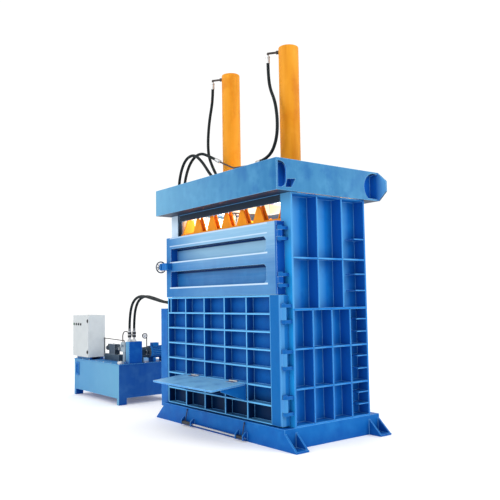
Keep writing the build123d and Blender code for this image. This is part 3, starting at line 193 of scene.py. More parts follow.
class Place:
    def __init__(self, tree):
        self.tree = tree
        coordinates = node(tree, "ShaderNodeTexCoord")
        self.point = coordinates.outputs["Object"]
        split = node(tree, "ShaderNodeSeparateXYZ", {0: self.point})
        facing = node(tree, "ShaderNodeSeparateXYZ", {0: coordinates.outputs["Normal"]})
        self.at = dict(zip("xyz", split.outputs))
        self.facing = dict(zip("xyz", facing.outputs))
        self.sideways = math_node(tree, "ABSOLUTE", self.facing["x"])

    def along(self, axis, start, end, low=0.0, high=1.0):
        """Changes from low to high while an axis goes from start to end."""
        return ramp(self.tree, self.at[axis], start, end, low, high)

    def towards(self, axis, sign):
        """One on faces that look along an axis, nought elsewhere."""
        return ramp(self.tree, self.facing[axis], *(limit * sign for limit in facing_limits))

    def zone(self, x=None, y=None, z=None, soft=0.006):
        """One inside a box, given as a pair of limits for each axis that matters."""
        sides = []
        for axis, limits in (("x", x), ("y", y), ("z", z)):
            if limits is not None:
                for edge, inward in ((limits[0], soft), (limits[1], -soft)):
                    sides.append(self.along(axis, edge - inward, edge + inward))
        return self.meeting(*sides)

    def meeting(self, *shares):
        """Where all the shares meet."""
        result = shares[0]
        for share in shares[1:]:
            result = math_node(self.tree, "MULTIPLY", result, share)
        return result

    def laid(self, paint, tone, *shares):
        """The paint with a tone laid over it where the shares meet."""
        return blended(self.tree, self.meeting(*shares), paint, tone)


print("place helper ready")

# %% [markdown]
# ## Enamel paint on welded plate
# The machine is sprayed with semi-gloss enamel. Its colour drifts a little over each
# plate, with faint vertical runs and mottling. Deep in the bays between the ribs it is
# painted darker, a painted shade found with Ambient Occlusion. Open plate edges get a
# painted highlight, a paler tone: the Bevel node bends the normal near an edge, and
# where it differs from the true normal there is an edge. Faces that look sideways, up
# or down may each have their own tone, painted light and shade. Very fine noise as bump
# is the orange peel of the spray.

# %% Enamel
edge_reach = 0.008
edge_bend = (0.995, 0.88)
roughness_spread = 0.16
peel_scale = 160.0
peel_depth = 0.0006
sky_sheen = srgb(90, 180, 255)


def edge_share(tree):
    """One on the outer edges of plates, nought elsewhere."""
    bent = node(tree, "ShaderNodeBevel", {"Radius": edge_reach}, samples=4).outputs["Normal"]
    true = node(tree, "ShaderNodeNewGeometry").outputs["Normal"]
    dot = node(tree, "ShaderNodeVectorMath", {0: bent, 1: true}, operation="DOT_PRODUCT")
    return ramp(tree, dot.outputs["Value"], *edge_bend)


def enamel(name, front, light, deep, side=None, top_light=None, underside_shade=None, edge_highlight=None, bay=0.16, bay_shade=1.0,
           edge_highlight_strength=0.8, drift=0.35, mottle=0.28, gloss=0.4, shine=0.16, sheen=sky_sheen, also=None):
    """Paint with a front, a light and a deep tone. A function given as also adds more tones."""
    finish, shader = blank_finish(name)
    tree = finish.node_tree
    place = Place(tree)
    clouds = noise(tree, place.point, 1.3, 0.0, drift * 0.6, detail=5.0)
    runs = noise(tree, place.point, 5.0, 0.0, drift * 0.4, stretch=(1.6, 1.6, 0.16), detail=3.0)
    pale_spots = noise(tree, place.point, 7.0, 0.0, mottle, detail=7.0, sharp=(0.5, 0.68))
    deep_spots = noise(tree, place.point, 5.3, 0.0, mottle, detail=7.0, sharp=(0.5, 0.36))
    paint = front
    # Side and top tones are painted light and shade, chosen by where a face points.
    for tone, share in ((side, place.sideways), (top_light, place.facing["z"])):
        if tone is not None:
            paint = blended(tree, ramp(tree, share, *facing_limits), paint, tone)
    paint = blended(tree, math_node(tree, "ADD", clouds, runs), paint, light)
    paint = blended(tree, pale_spots, paint, light)
    paint = blended(tree, deep_spots, paint, deep)
    # Painted shade: darker deep in the bays, found with Ambient Occlusion.
    sky = node(tree, "ShaderNodeAmbientOcclusion", {"Distance": bay}, samples=4).outputs["AO"]
    paint = blended(tree, ramp(tree, sky, 0.97, 0.4, 0.0, bay_shade), paint, deep)
    if also is not None:
        paint = also(place, paint)
    # Painted shade on the undersides.
    if underside_shade is not None:
        paint = place.laid(paint, underside_shade, place.towards("z", -1))
    # Painted highlight on the open plate edges.
    exposed = ramp(tree, sky, 0.45, 0.7, 0.0, edge_highlight_strength)
    paint = place.laid(paint, edge_highlight or light, edge_share(tree), exposed)
    rough = noise(tree, place.point, 2.4, gloss, gloss + roughness_spread)
    peel = noise(tree, place.point, peel_scale, 0.0, 1.0, detail=2.0)
    bump = node(tree, "ShaderNodeBump", {"Height": peel, "Strength": 0.08, "Distance": peel_depth})
    tree.links.new(paint, shader.inputs["Base Color"])
    tree.links.new(rough, shader.inputs["Roughness"])
    tree.links.new(bump.outputs["Normal"], shader.inputs["Normal"])
    shader.inputs["Specular IOR Level"].default_value = shine
    shader.inputs["Specular Tint"].default_value = sheen
    return finish


print("enamel ready, edges found within", edge_reach, "m")

# %% [markdown]
# ## Tones of the walls
# Behind each upright rib the skin has a painted reflection, a pale streak of sky that
# fades along the bay; the ribs' own front-facing faces are painted deep blue as painted
# shade. The front columns get painted light that grows with height, and the left one a
# painted glare at its top and painted shade on its inner edge. Where the walls line the
# top of the chamber they are primer white. The bays repeat evenly, so the remainder of a
# division finds them all.

# %% Walls
primer_tone = srgb(250, 240, 215)
wall_depth = 1.1
behind_rib = 0.15
upper_bays = {"count": 3, "heights": (1.40, 2.7), "strength": 0.5, "end": 0.26}
lower_bays = {"count": 4, "heights": (0.2, 1.38), "strength": 0.35, "end": 0.20}
rib_depths = (-0.54, 0.6)
column_depths = (-0.6, -0.54)
# Painted glare at the top of the left column, and painted shade on its inner edge.
column_glare = {"x": (-1.3, -1.0), "z": (2.312, 2.62)}
column_inner_shade = {"x": (-1.035, -1.020), "y": (-0.56, -0.5), "z": (2.30, 2.7)}
chamber_top = {"x": (-1.035, 1.035), "z": (2.28, 2.7)}
chamber_front = (-0.50, -0.46)


def wall_tones(place, paint):
    tree = place.tree
    sideways = ramp(tree, place.sideways, 0.5, 0.9)
    from_front = math_node(tree, "ADD", place.at["y"], wall_depth / 2)
    for bays in (upper_bays, lower_bays):
        in_bay = math_node(tree, "MODULO", from_front, wall_depth / bays["count"])
        # Painted reflection: a pale streak of sky behind each rib, fading along the bay.
        painted_sky_streak = ramp(tree, in_bay, behind_rib, bays["end"], bays["strength"], 0.0)
        paint = place.laid(paint, srgb(104, 176, 222), painted_sky_streak, place.zone(z=bays["heights"]), sideways)
    paint = place.laid(paint, srgb(16, 104, 192), place.along("z", 1.40, 0.3), sideways, 0.6)
    # Painted shade on the front-facing faces of the ribs.
    paint = place.laid(paint, srgb(18, 92, 178), place.towards("y", -1), place.zone(y=rib_depths))
    # Painted light on the column fronts, growing with height, and a painted glare at the top of the left column.
    column = place.meeting(place.towards("y", -1), place.zone(y=column_depths))
    paint = place.laid(paint, srgb(34, 146, 216), column)
    paint = place.laid(paint, srgb(98, 160, 205), column, place.along("z", 1.9, 2.6, 0.0, 0.8))
    paint = place.laid(paint, srgb(214, 228, 238), column, place.zone(**column_glare), 0.75)
    # Painted shade on the inner edge of the left column.
    paint = place.laid(paint, srgb(48, 62, 80), place.zone(**column_inner_shade, soft=0.003))
    return place.laid(paint, primer_tone, place.zone(**chamber_top), place.along("y", *chamber_front))


print("wall bays:", upper_bays["count"], "above", lower_bays["count"], "below")

# %% [markdown]
# ## Tones of the crown
# The crown has painted light towards the far left end and towards the rear. Its inside
# is primed, the header plate under it is painted slate as painted shade, and painted blue
# light gathers in the notches of the front beam and on the front of the rear ear, with a
# painted highlight towards the ear's end.

# %% Crown
crown_inside = {"x": (-1.2, 1.2), "y": (-0.52, 0.52), "z": (2.5, 2.905)}
header_shade = {"y": (-0.546, -0.524), "z": (2.4, 2.6)}
notch_walls = {"x": (0.9, 1.221), "y": (-0.744, -0.42), "z": (2.61, 2.921)}
notch_ends = {"x": (0.9, 1.19), "z": (2.61, 2.925)}
rear_ear = {"x": (0.9, 1.36), "y": (0.5, 0.77)}


def crown_tones(place, paint):
    # Painted light towards the far left end and towards the rear.
    paint = place.laid(paint, srgb(118, 174, 204), place.along("x", 0.9, -1.3, 0.0, 0.6))
    paint = place.laid(paint, srgb(130, 184, 218), place.along("y", 0.0, 0.7, 0.0, 0.15))
    paint = place.laid(paint, primer_tone, place.zone(**crown_inside))
    # Painted shade in slate on the header plate.
    paint = place.laid(paint, srgb(44, 54, 66), place.zone(**header_shade))
    # Painted blue light in the notches of the front beam.
    paint = place.laid(paint, srgb(64, 150, 232), place.zone(**notch_walls, soft=0.002))
    paint = place.laid(paint, srgb(24, 104, 206), place.zone(**notch_ends), place.towards("x", 1))
    # Painted blue light on the front of the rear ear, and a painted highlight towards its end.
    ear = place.meeting(place.zone(**rear_ear), place.towards("y", -1))
    paint = place.laid(paint, srgb(18, 96, 188), ear)
    return place.laid(paint, srgb(110, 186, 236), ear, place.along("x", 1.20, 1.31, 0.0, 0.7))


print("crown is primed inside up to", crown_inside["z"][1], "m")

# %% [markdown]
# ## Tones of the doors
# On the lower door the cells grow darker towards the foot, and the ribs' front edges
# and tops get a painted highlight, as do the hinge side and the hinge barrels. The upper
# door has a painted reflection of sky towards its top and its hinge side, with painted
# streaks of reflection. Its windows have painted shadows under their heads and painted
# highlights along the sills and rails. Its right end, its sides and its undersides are
# painted in shade, and its tops get painted light.

# %% Lower door
door_strip = (0.955, 1.095)
rib_fronts = (-0.655, -0.659)
cell_backs = (-0.650, -0.645)
hinge_edge = (1.1, 1.2)
hinge_barrels = {"x": (1.095, 1.2), "y": (-0.68, -0.61)}


def lower_door_tones(place, paint):
    foot = place.meeting(place.along("z", 0.62, 0.40), place.along("y", *cell_backs))
    paint = place.laid(paint, srgb(0, 24, 58), foot, 0.95)
    # Painted light on the hinge-side faces, and a painted highlight on the hinge barrels.
    paint = place.laid(paint, srgb(28, 112, 184), place.zone(x=hinge_edge), place.towards("x", 1))
    paint = place.laid(paint, srgb(104, 172, 220), place.zone(**hinge_barrels), 0.4)
    paint = place.laid(paint, srgb(12, 92, 158), place.zone(x=door_strip), place.towards("y", -1), 0.7)
    # Painted highlight on the rib fronts and tops.
    fronts = place.meeting(place.along("y", *rib_fronts), place.zone(x=(-1.2, door_strip[0])))
    tops = place.meeting(place.towards("z", 1), 0.5)
    return place.laid(paint, srgb(98, 176, 228), math_node(place.tree, "MAXIMUM", fronts, tops))


print("lower door strip starts at x =", door_strip[0])

# %% Upper door
window_heads = (1.868, 2.160)
soffit = (-0.026, 0.02)
highlight_lines = ((1.653, 1.671, 0.8), (1.978, 1.994, 0.8), (2.188, 2.200, 0.6), (2.290, 2.304, 0.6))
line_ends, line_depths = (-1.06, 0.93), (-0.67, -0.65)
soffit_ends, soffit_depths = (-1.1, 0.95), (-0.6, -0.5)
hinge_end = (1.056, 1.2)


def upper_door_tones(place, paint):
    tree = place.tree
    to_hinge = place.along("x", -1.1, -0.3)
    # Painted reflection of sky, growing towards the top and the hinge side.
    painted_light_wash = place.meeting(place.along("z", 1.88, 2.25, 0.12, 0.75), ramp(tree, to_hinge, 0.0, 1.0, 0.1, 1.0))
    painted_light_wash = math_node(tree, "MULTIPLY_ADD", to_hinge, 0.12, painted_light_wash)
    recessed = place.along("y", -0.62, -0.60)
    in_window = blended(tree, recessed, (1, 1, 1, 1), place.along("z", 1.88, 1.96, 0.5, 2.0))
    paint = place.laid(paint, srgb(136, 182, 212), painted_light_wash, in_window)
    # Painted streaks of reflection on the front.
    reflection_streaks = noise(tree, place.point, 2.2, 0.0, 0.8, stretch=(0.7, 0.7, 16.0))
    paint = place.laid(paint, srgb(190, 214, 234), place.towards("y", -1), reflection_streaks,
                       place.along("z", 1.75, 2.2, 0.2, 1.0), to_hinge, 0.25)
    # Painted highlights along the sills and rails.
    for low, high, strength in highlight_lines:
        line = place.zone(x=line_ends, y=line_depths, z=(low, high), soft=0.003)
        paint = place.laid(paint, srgb(206, 226, 242), line, strength)
    # Painted shadows under the window heads.
    for head in window_heads:
        heights = (head + soffit[0], head + soffit[1])
        shade = place.zone(soffit_ends, soffit_depths, heights, soft=0.004)
        paint = place.laid(paint, srgb(8, 44, 96), shade)
    # Painted shade on the right end, the sides and the undersides, and painted light on the tops.
    paint = place.laid(paint, srgb(22, 88, 166), place.zone(x=hinge_end))
    paint = place.laid(paint, srgb(14, 76, 162), place.towards("x", 1))
    paint = place.laid(paint, srgb(10, 48, 96), place.towards("z", -1))
    return place.laid(paint, srgb(176, 208, 232), place.towards("z", 1))


print("upper door:", len(highlight_lines), "pale lines,", len(window_heads), "soffits")

# %% [markdown]
# ## Tones of the cylinders, the valve and the tank
# Oil has stained the cylinders in long faint streaks. The valve's cast block and plate
# are greyer than its black coils. The tank's front gets painted light, most at the
# right, its top is painted lighter and its end is painted deep as painted shade.

# %% Cylinders, valve and tank
valve_block = {"x": (-3.411, -3.209), "z": (0.682, 0.9)}
valve_plate = (0.4, 0.681)


def cylinder_tones(place, paint):
    stains = noise(place.tree, place.point, 4.0, 0.0, 0.5, stretch=(3.0, 3.0, 0.35), sharp=(0.5, 0.72))
    return place.laid(paint, srgb(186, 104, 14), stains)


def valve_tones(place, paint):
    paint = place.laid(paint, srgb(66, 76, 86), place.zone(**valve_block))
    return place.laid(paint, srgb(54, 70, 82), place.zone(z=valve_plate))


def tank_tones(place, paint):
    # Painted light on the tank's front, most at the right.
    painted_light_wash = place.along("x", -4.2, -2.6, 0.4, 0.75)
    return place.laid(paint, srgb(107, 166, 193), place.towards("y", -1), painted_light_wash)


print("cylinder, valve and tank tones ready")

# %% [markdown]
# ## The enamels
# The same spray gun painted everything, yet in the photograph each piece has its own
# blue, because each faces the sky in its own way. So there is one enamel for each kind
# of piece: its front tone, a light and a deep tone, and the tones of its other sides,
# which are painted light and shade, with a painted highlight on the open edges.

# %% Enamels
# Side, top and under tones are painted light and shade; the edge tones are painted highlights.
blue = srgb(10, 94, 172)
light_blue = srgb(44, 130, 198)
deep_blue = srgb(8, 66, 150)
edge_highlight_blue = srgb(100, 175, 230)
crown_underside_shade = srgb(38, 56, 80)
amber_sheen = srgb(255, 220, 160)
machine_blue = enamel("machine_blue", blue, light_blue, deep_blue, edge_highlight=edge_highlight_blue, drift=0.2, bay_shade=0.7)
hinge_blue = enamel("hinge_blue", srgb(16, 84, 160), light_blue, deep_blue, edge_highlight=srgb(70, 145, 205),
                    drift=0.3, edge_highlight_strength=0.5)
wall_blue = enamel("wall_blue", srgb(20, 116, 190), light_blue, srgb(10, 70, 158),
                   side=srgb(14, 114, 196), edge_highlight=edge_highlight_blue, drift=0.2, bay_shade=0.6, also=wall_tones)
crown_blue = enamel("crown_blue", srgb(32, 100, 152), srgb(92, 158, 198), srgb(16, 74, 150),
                    side=srgb(50, 112, 160), underside_shade=crown_underside_shade, edge_highlight=srgb(140, 192, 230), drift=0.5, bay=0.08,
                    also=crown_tones)
lower_door_blue = enamel("lower_door_blue", srgb(10, 104, 184), srgb(42, 128, 200), srgb(8, 62, 140),
                         edge_highlight=srgb(96, 172, 226), drift=0.22, also=lower_door_tones)
upper_door_blue = enamel("upper_door_blue", srgb(14, 92, 160), srgb(50, 130, 190), srgb(24, 98, 164),
                         edge_highlight=srgb(160, 202, 232), drift=0.5, bay=0.05, bay_shade=0.3, gloss=0.3,
                         also=upper_door_tones)
tank_blue = enamel("tank_blue", srgb(30, 108, 178), srgb(96, 158, 200), deep_blue,
                   side=srgb(8, 68, 152), top_light=srgb(60, 130, 188), edge_highlight=srgb(92, 168, 220), drift=0.2,
                   mottle=0.1, also=tank_tones)
block_blue = enamel("manifold_blue", srgb(84, 143, 180), light_blue, deep_blue, side=srgb(14, 80, 170),
                    edge_highlight=edge_highlight_blue, drift=0.2, bay=0.05)
shelf_blue = enamel("shelf_blue", srgb(54, 138, 212), srgb(128, 186, 224), deep_blue,
                    top_light=srgb(116, 178, 220), underside_shade=srgb(14, 84, 158), edge_highlight=srgb(150, 205, 240), drift=0.5,
                    gloss=0.3)
weld_blue = enamel("weld_blue", srgb(70, 145, 208), srgb(140, 195, 235), srgb(40, 110, 185), bay=0.02,
                   bay_shade=0.4, edge_highlight_strength=0.0, drift=0.5)
orange = enamel("orange_enamel", srgb(208, 128, 20), srgb(230, 160, 52), srgb(184, 84, 8), bay=0.04,
                edge_highlight=srgb(240, 176, 76), edge_highlight_strength=0.3, drift=0.9, sheen=amber_sheen,
                also=cylinder_tones)
tooth_orange = enamel("tooth_orange", srgb(246, 142, 16), srgb(252, 168, 44), srgb(226, 110, 6),
                      bay=0.05, edge_highlight=srgb(240, 120, 10), edge_highlight_strength=0.6, drift=0.6, sheen=amber_sheen)
valve_black = enamel("valve_black", srgb(24, 28, 32), srgb(52, 60, 66), srgb(10, 12, 14), bay=0.03,
                     edge_highlight=srgb(150, 158, 164), drift=0.6, gloss=0.3, shine=0.5, also=valve_tones)
cabinet_coat = enamel("cabinet_powder_coat", srgb(187, 193, 196), srgb(198, 203, 205),
                      srgb(150, 158, 164), side=srgb(222, 228, 228), edge_highlight=srgb(226, 230, 232),
                      drift=0.3, mottle=0.1, gloss=0.5, bay=0.03, sheen=(1, 1, 1, 1))
print("enamels:", len(bpy.data.materials))

# %% [markdown]
# ## Bare and plated metals, plastics and rubber
# The other finishes need less: a colour that drifts, a roughness that varies, and a
# little bump. One helper covers them, with its figures given for each. Their
# colours are in linear light, from nought to one.


# %% Plain finishes
def plain(name, colour, light, rough, metal=0.0, grain=60.0, stretch=(1, 1, 1), bump=0.1, coat=0.0,
          shine=0.5):
    finish, shader = blank_finish(name)
    tree = finish.node_tree
    place = node(tree, "ShaderNodeTexCoord").outputs["Object"]
    drift = noise(tree, place, 6.0, 0.0, 1.0, stretch)
    height = noise(tree, place, grain, 0.0, 1.0, stretch, detail=3.0)
    made = node(tree, "ShaderNodeBump", {"Height": height, "Strength": bump, "Distance": 0.0004})
    tree.links.new(blended(tree, drift, (*colour, 1), (*light, 1)), shader.inputs["Base Color"])
    tree.links.new(noise(tree, place, 14.0, rough - 0.06, rough + 0.1, stretch), shader.inputs["Roughness"])
    tree.links.new(made.outputs["Normal"], shader.inputs["Normal"])
    shader.inputs["Metallic"].default_value = metal
    shader.inputs["Coat Weight"].default_value = coat
    shader.inputs["Specular IOR Level"].default_value = shine
    return finish


zinc = plain("zinc_plated_steel", (0.50, 0.51, 0.52), (0.68, 0.69, 0.70), 0.32, metal=1.0)
chrome = plain("hard_chrome", (0.72, 0.73, 0.74), (0.80, 0.81, 0.82), 0.14, metal=1.0, bump=0.02)
bronze = plain("turned_bronze", (0.56, 0.36, 0.15), (0.68, 0.47, 0.22), 0.3, metal=1.0, stretch=(1, 1, 8))
black_iron = plain("black_oxide_iron", (0.010, 0.013, 0.018), (0.03, 0.036, 0.046), 0.42, metal=0.2)
wheel_iron = plain("worn_wheel_iron", (0.03, 0.04, 0.05), (0.20, 0.22, 0.25), 0.35, metal=0.6)
grey_iron = plain("phosphated_iron", (0.20, 0.27, 0.32), (0.34, 0.42, 0.47), 0.45, metal=0.1)
pipe_iron = plain("dark_steel_pipe", (0.03, 0.028, 0.028), (0.10, 0.08, 0.07), 0.4, metal=0.5)
black_plastic = plain("black_plastic", (0.008, 0.008, 0.010), (0.02, 0.02, 0.025), 0.4)
green_plastic = plain("green_plastic", (0.01, 0.20, 0.06), (0.02, 0.28, 0.09), 0.3, coat=0.3)
rubber = plain("hose_rubber", (0.003, 0.007, 0.009), (0.008, 0.014, 0.017), 0.42, grain=300.0, bump=0.15,
               shine=0.15)
card_white = plain("dial_card", (0.80, 0.80, 0.78), (0.86, 0.86, 0.85), 0.6, bump=0.02)
print("all finishes:", len(bpy.data.materials))

# %% [markdown]
# ## Finishes on the CAD pieces
# Each solid names the slot of its real material. The slot gives the finish, and the
# pieces whose paint has its own tone in the photograph get their own enamel.

# %% Finishes on the CAD nodes
finish_of_slot = {
    "blue_paint": machine_blue, "orange_paint": orange, "floor_steel": machine_blue,
    "bright_steel": zinc, "chromed_steel": chrome, "bronze": bronze, "dark_steel": black_iron,
    "zinc_grey": grey_iron, "cabinet_paint": cabinet_coat, "black_plastic": black_plastic,
    "green_plastic": green_plastic, "gauge_steel": zinc, "hose_rubber": rubber,
}
nodes_of_finish = (
    (wall_blue, ("right_side_wall", "left_side_wall", "rear_wall")),
    (crown_blue, ("crown",)),
    (lower_door_blue, ("lower_door",)),
    (upper_door_blue, ("upper_door",)),
    (hinge_blue, ("door_hinge_pins", "door_hinge_brackets")),
    (shelf_blue, ("feed_shelf",)),
    (tooth_orange, ("platen",)),
    (wheel_iron, ("handwheel", "lock_bolt")),
    (tank_blue, ("tank", "tank_cover")),
    (machine_blue, ("level_gauge",)),
    (block_blue, ("manifold",)),
    (valve_black, ("directional_valve", "pump", "bell_housing")),
    (pipe_iron, ("port_elbows", "crown_pipe", "pump_pipe", "link_pipe")),
    (black_iron, ("dial_gauge",)),
)
finish_of_node = {name: finish for finish, names in nodes_of_finish for name in names}
subparts = frame["record"]["subparts"]
for part in subparts:
    mesh = nodes[part["node"]].data
    mesh.materials.clear()
    mesh.materials.append(finish_of_node.get(part["node"], finish_of_slot[part["material_slot"]]))
print("finished nodes:", len(subparts), "with a finish of their own:", len(finish_of_node))

# %% [markdown]
# ## The hydraulic hoses
# Four rubber hoses, 38 mm thick, carry the oil: two from the manifold up the left
# side of the press and over its crown, and one from each cylinder's top port down
# to the crown. A hose is one smooth line, so each is a NURBS curve through listed
# control points, with a round bevel for its thickness.

# %% Hose routes
hose_radius = 0.019
hose_routes = {
    "supply_hose_front": [
        (-2.617, -0.440, 1.060), (-2.617, -0.440, 1.225), (-2.560, -0.438, 1.440), (-2.430, -0.434, 1.550),
        (-2.235, -0.430, 1.582), (-1.960, -0.425, 1.538), (-1.660, -0.415, 1.484), (-1.430, -0.405, 1.480),
        (-1.300, -0.397, 1.620), (-1.292, -0.392, 1.880), (-1.290, -0.390, 2.250), (-1.294, -0.388, 2.620),
        (-1.284, -0.386, 2.960), (-1.235, -0.384, 3.210), (-1.115, -0.374, 3.385), (-0.940, -0.354, 3.420),
        (-0.790, -0.328, 3.302), (-0.650, -0.306, 3.120), (-0.510, -0.295, 2.985), (-0.378, -0.295, 2.985)],
    "supply_hose_rear": [
        (-2.617, -0.364, 1.060), (-2.617, -0.364, 1.215), (-2.575, -0.362, 1.410), (-2.460, -0.358, 1.535),
        (-2.270, -0.352, 1.578), (-2.050, -0.346, 1.548), (-1.760, -0.338, 1.484), (-1.500, -0.330, 1.455),
        (-1.330, -0.320, 1.560), (-1.300, -0.312, 1.800), (-1.290, -0.306, 2.150), (-1.294, -0.302, 2.560),
        (-1.286, -0.300, 2.950), (-1.232, -0.300, 3.190), (-1.090, -0.300, 3.370), (-0.880, -0.296, 3.436),
        (-0.690, -0.272, 3.352), (-0.530, -0.250, 3.268)],
    "left_cylinder_hose": [
        (-0.780, -0.150, 4.330), (-0.780, -0.150, 4.150), (-0.855, -0.160, 3.880), (-0.880, -0.170, 3.620),
        (-0.840, -0.190, 3.400), (-0.720, -0.212, 3.230), (-0.600, -0.226, 3.085), (-0.490, -0.235, 2.985),
        (-0.378, -0.235, 2.985)],
    "right_cylinder_hose": [
        (0.380, -0.150, 4.330), (0.380, -0.150, 4.170), (0.436, -0.175, 3.965), (0.560, -0.205, 3.780),
        (0.610, -0.215, 3.560), (0.606, -0.222, 3.350), (0.530, -0.228, 3.190), (0.400, -0.231, 3.122),
        (0.270, -0.233, 3.108)],
}


# %% Hoses
def tube(name, route, radius, finish):
    """A round hose or pipe on one NURBS spline."""
    curve = bpy.data.curves.new(name, "CURVE")
    curve.dimensions = "3D"
    spline = curve.splines.new("NURBS")
    spline.points.add(len(route) - 1)
    for point, place in zip(spline.points, route):
        point.co = (*place, 1)
    spline.order_u = 3
    spline.use_endpoint_u = True
    spline.resolution_u = 10
    curve.bevel_depth = radius
    curve.bevel_resolution = 5
    curve.use_fill_caps = True
    curve.materials.append(finish)
    made = bpy.data.objects.new(name, curve)
    scene.collection.objects.link(made)
    return made


for name, route in hose_routes.items():
    hose = tube(name + "_rubber", route, hose_radius, rubber)
    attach(hose, "frame")
    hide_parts(name)

# %% [markdown]
# ## Growing what repeats
# Bolts, weld seams, crimped rings and dial ticks come in dozens. Each kind is grown
# by one Geometry Nodes tree from a few points or lines, with its sizes as named
# inputs. The result is kept as one plain mesh for each body that it rides on.


# %% Growing helpers
def growing_tree(name, *numbers):
    """An empty tree with a geometry, a material and some numbers as inputs."""
    tree = bpy.data.node_groups.new(name, "GeometryNodeTree")
    sockets = [("Geometry", "OUTPUT", "Geometry"), ("Geometry", "INPUT", "Geometry"),
               ("Material", "INPUT", "Material"), *((label, "INPUT", "Float") for label in numbers)]
    for label, in_out, kind in sockets:
        tree.interface.new_socket(name=label, in_out=in_out, socket_type="NodeSocket" + kind)
    return tree, node(tree, "NodeGroupInput").outputs


def end_tree(tree, geometry, given):
    """Makes the instances real, sets the finish and ends the tree."""
    real = node(tree, "GeometryNodeRealizeInstances", {"Geometry": geometry}).outputs[0]
    finished = node(tree, "GeometryNodeSetMaterial", {"Geometry": real, "Material": given["Material"]})
    node(tree, "NodeGroupOutput", {"Geometry": finished.outputs[0]})


def grown(name, seeds, tree, body, slot, **values):
    """Runs a tree on its seeds and keeps the result as one plain mesh on a body."""
    made = bpy.data.objects.new(name, seeds)
    scene.collection.objects.link(made)
    modifier = made.modifiers.new("grow", "NODES")
    modifier.node_group = tree
    for item in tree.interface.items_tree:
        if item.in_out == "INPUT" and item.name in values:
            modifier[item.identifier] = values[item.name]
    bpy.context.view_layer.update()
    shape = bpy.data.meshes.new_from_object(made.evaluated_get(bpy.context.evaluated_depsgraph_get()))
    made.modifiers.remove(modifier)
    made.data = shape
    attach(made, body)
    print(name, "faces", len(shape.polygons))
    return made


def seed_points(name, points, facing):
    """Points for a tree, each with the direction that its piece faces."""
    mesh = bpy.data.meshes.new(name)
    mesh.from_pydata(points, [], [])
    stored = mesh.attributes.new("facing", "FLOAT_VECTOR", "POINT")
    for value, direction in zip(stored.data, facing):
        value.vector = direction
    return mesh


def put_on_points(tree, given, piece, turn=0.0):
    """Instances of a piece on the points, each facing its own way with its own spin."""
    facing = node(tree, "GeometryNodeInputNamedAttribute", {"Name": "facing"}, data_type="FLOAT_VECTOR")
    aimed = node(tree, "FunctionNodeAlignRotationToVector", {"Vector": facing.outputs[0]}, axis="Z")
    chance = node(tree, "FunctionNodeRandomValue", {2: 0.0, 3: turn, "Seed": 7}, data_type="FLOAT")
    spin = node(tree, "ShaderNodeCombineXYZ", {"Z": chance.outputs[1]}).outputs[0]
    turned = node(tree, "FunctionNodeEulerToRotation", {0: spin}).outputs[0]
    spun = node(tree, "FunctionNodeRotateRotation", {0: aimed.outputs[0], 1: turned}, rotation_space="LOCAL")
    placed = node(tree, "GeometryNodeInstanceOnPoints", {"Points": given["Geometry"], "Instance": piece,
                                                         "Rotation": spun.outputs[0]})
    return placed.outputs[0]


def lifted(tree, piece, height):
    shift = node(tree, "ShaderNodeCombineXYZ", {"Z": height}).outputs[0]
    return node(tree, "GeometryNodeTransform", {"Geometry": piece, "Translation": shift}).outputs[0]


print("growing helpers ready")

# %% [markdown]
# ## Flange bolts
# Eight hexagon bolts hold each cylinder to the crown, and eight more hold each piston
# rod to the platen. A head is a six-sided bar with its top corners turned off, on a
# round washer. No two stop at the same angle, so each gets its own random spin.

# %% Bolt tree
washer_height = 0.0025
washer_sides = 20
body_share = 0.68
corner_share = 0.12
corner_narrowing = 0.84

bolt_tree, given = growing_tree("hex_bolts", "Head Radius", "Head Height", "Washer Radius")
washer = node(bolt_tree, "GeometryNodeMeshCylinder", {"Vertices": washer_sides, "Depth": washer_height,
                                                      "Radius": given["Washer Radius"]}).outputs["Mesh"]
body_height = math_node(bolt_tree, "MULTIPLY", given["Head Height"], body_share)
corner_height = math_node(bolt_tree, "MULTIPLY", given["Head Height"], corner_share)
top_radius = math_node(bolt_tree, "MULTIPLY", given["Head Radius"], corner_narrowing)
head = node(bolt_tree, "GeometryNodeMeshCylinder", {"Vertices": 6, "Radius": given["Head Radius"],
                                                    "Depth": body_height}).outputs["Mesh"]
turned_corners = node(bolt_tree, "GeometryNodeMeshCone",
                      {"Vertices": 6, "Radius Bottom": given["Head Radius"], "Depth": corner_height,
                       "Radius Top": top_radius}).outputs["Mesh"]
head_level = math_node(bolt_tree, "MULTIPLY_ADD", body_height, 0.5, washer_height)
corner_level = math_node(bolt_tree, "ADD", body_height, washer_height)
bolt = node(bolt_tree, "GeometryNodeJoinGeometry")
for bolt_part, level in ((washer, washer_height / 2), (head, head_level), (turned_corners, corner_level)):
    bolt_tree.links.new(lifted(bolt_tree, bolt_part, level), bolt.inputs[0])
end_tree(bolt_tree, put_on_points(bolt_tree, given, bolt.outputs[0], turn=math.tau / 6), given)
print("bolt tree nodes:", len(bolt_tree.nodes))

# %% Flange bolts
bolts_per_flange = 8
flange_turns = [(i + 0.5) * math.tau / bolts_per_flange for i in range(bolts_per_flange)]
flange_bolt_sizes = {"Head Radius": 0.0105, "Head Height": 0.0115, "Washer Radius": 0.0118}
for name, node_name, body, ring in (("crown_bolts", "cylinder_flange_bolts", "frame", 0.145),
                                    ("platen_bolts", "rod_flange_bolts", "ram", 0.0825)):
    level = corner(node_name, 0).z
    spots = [(axis.x + ring * math.cos(turn), axis.y + ring * math.sin(turn), level)
             for axis in cylinder_axes for turn in flange_turns]
    bolts = grown(name, seed_points(name, spots, [(0, 0, 1)] * len(spots)), bolt_tree, body, "bright_steel",
                  Material=zinc, **flange_bolt_sizes)
    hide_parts(node_name)

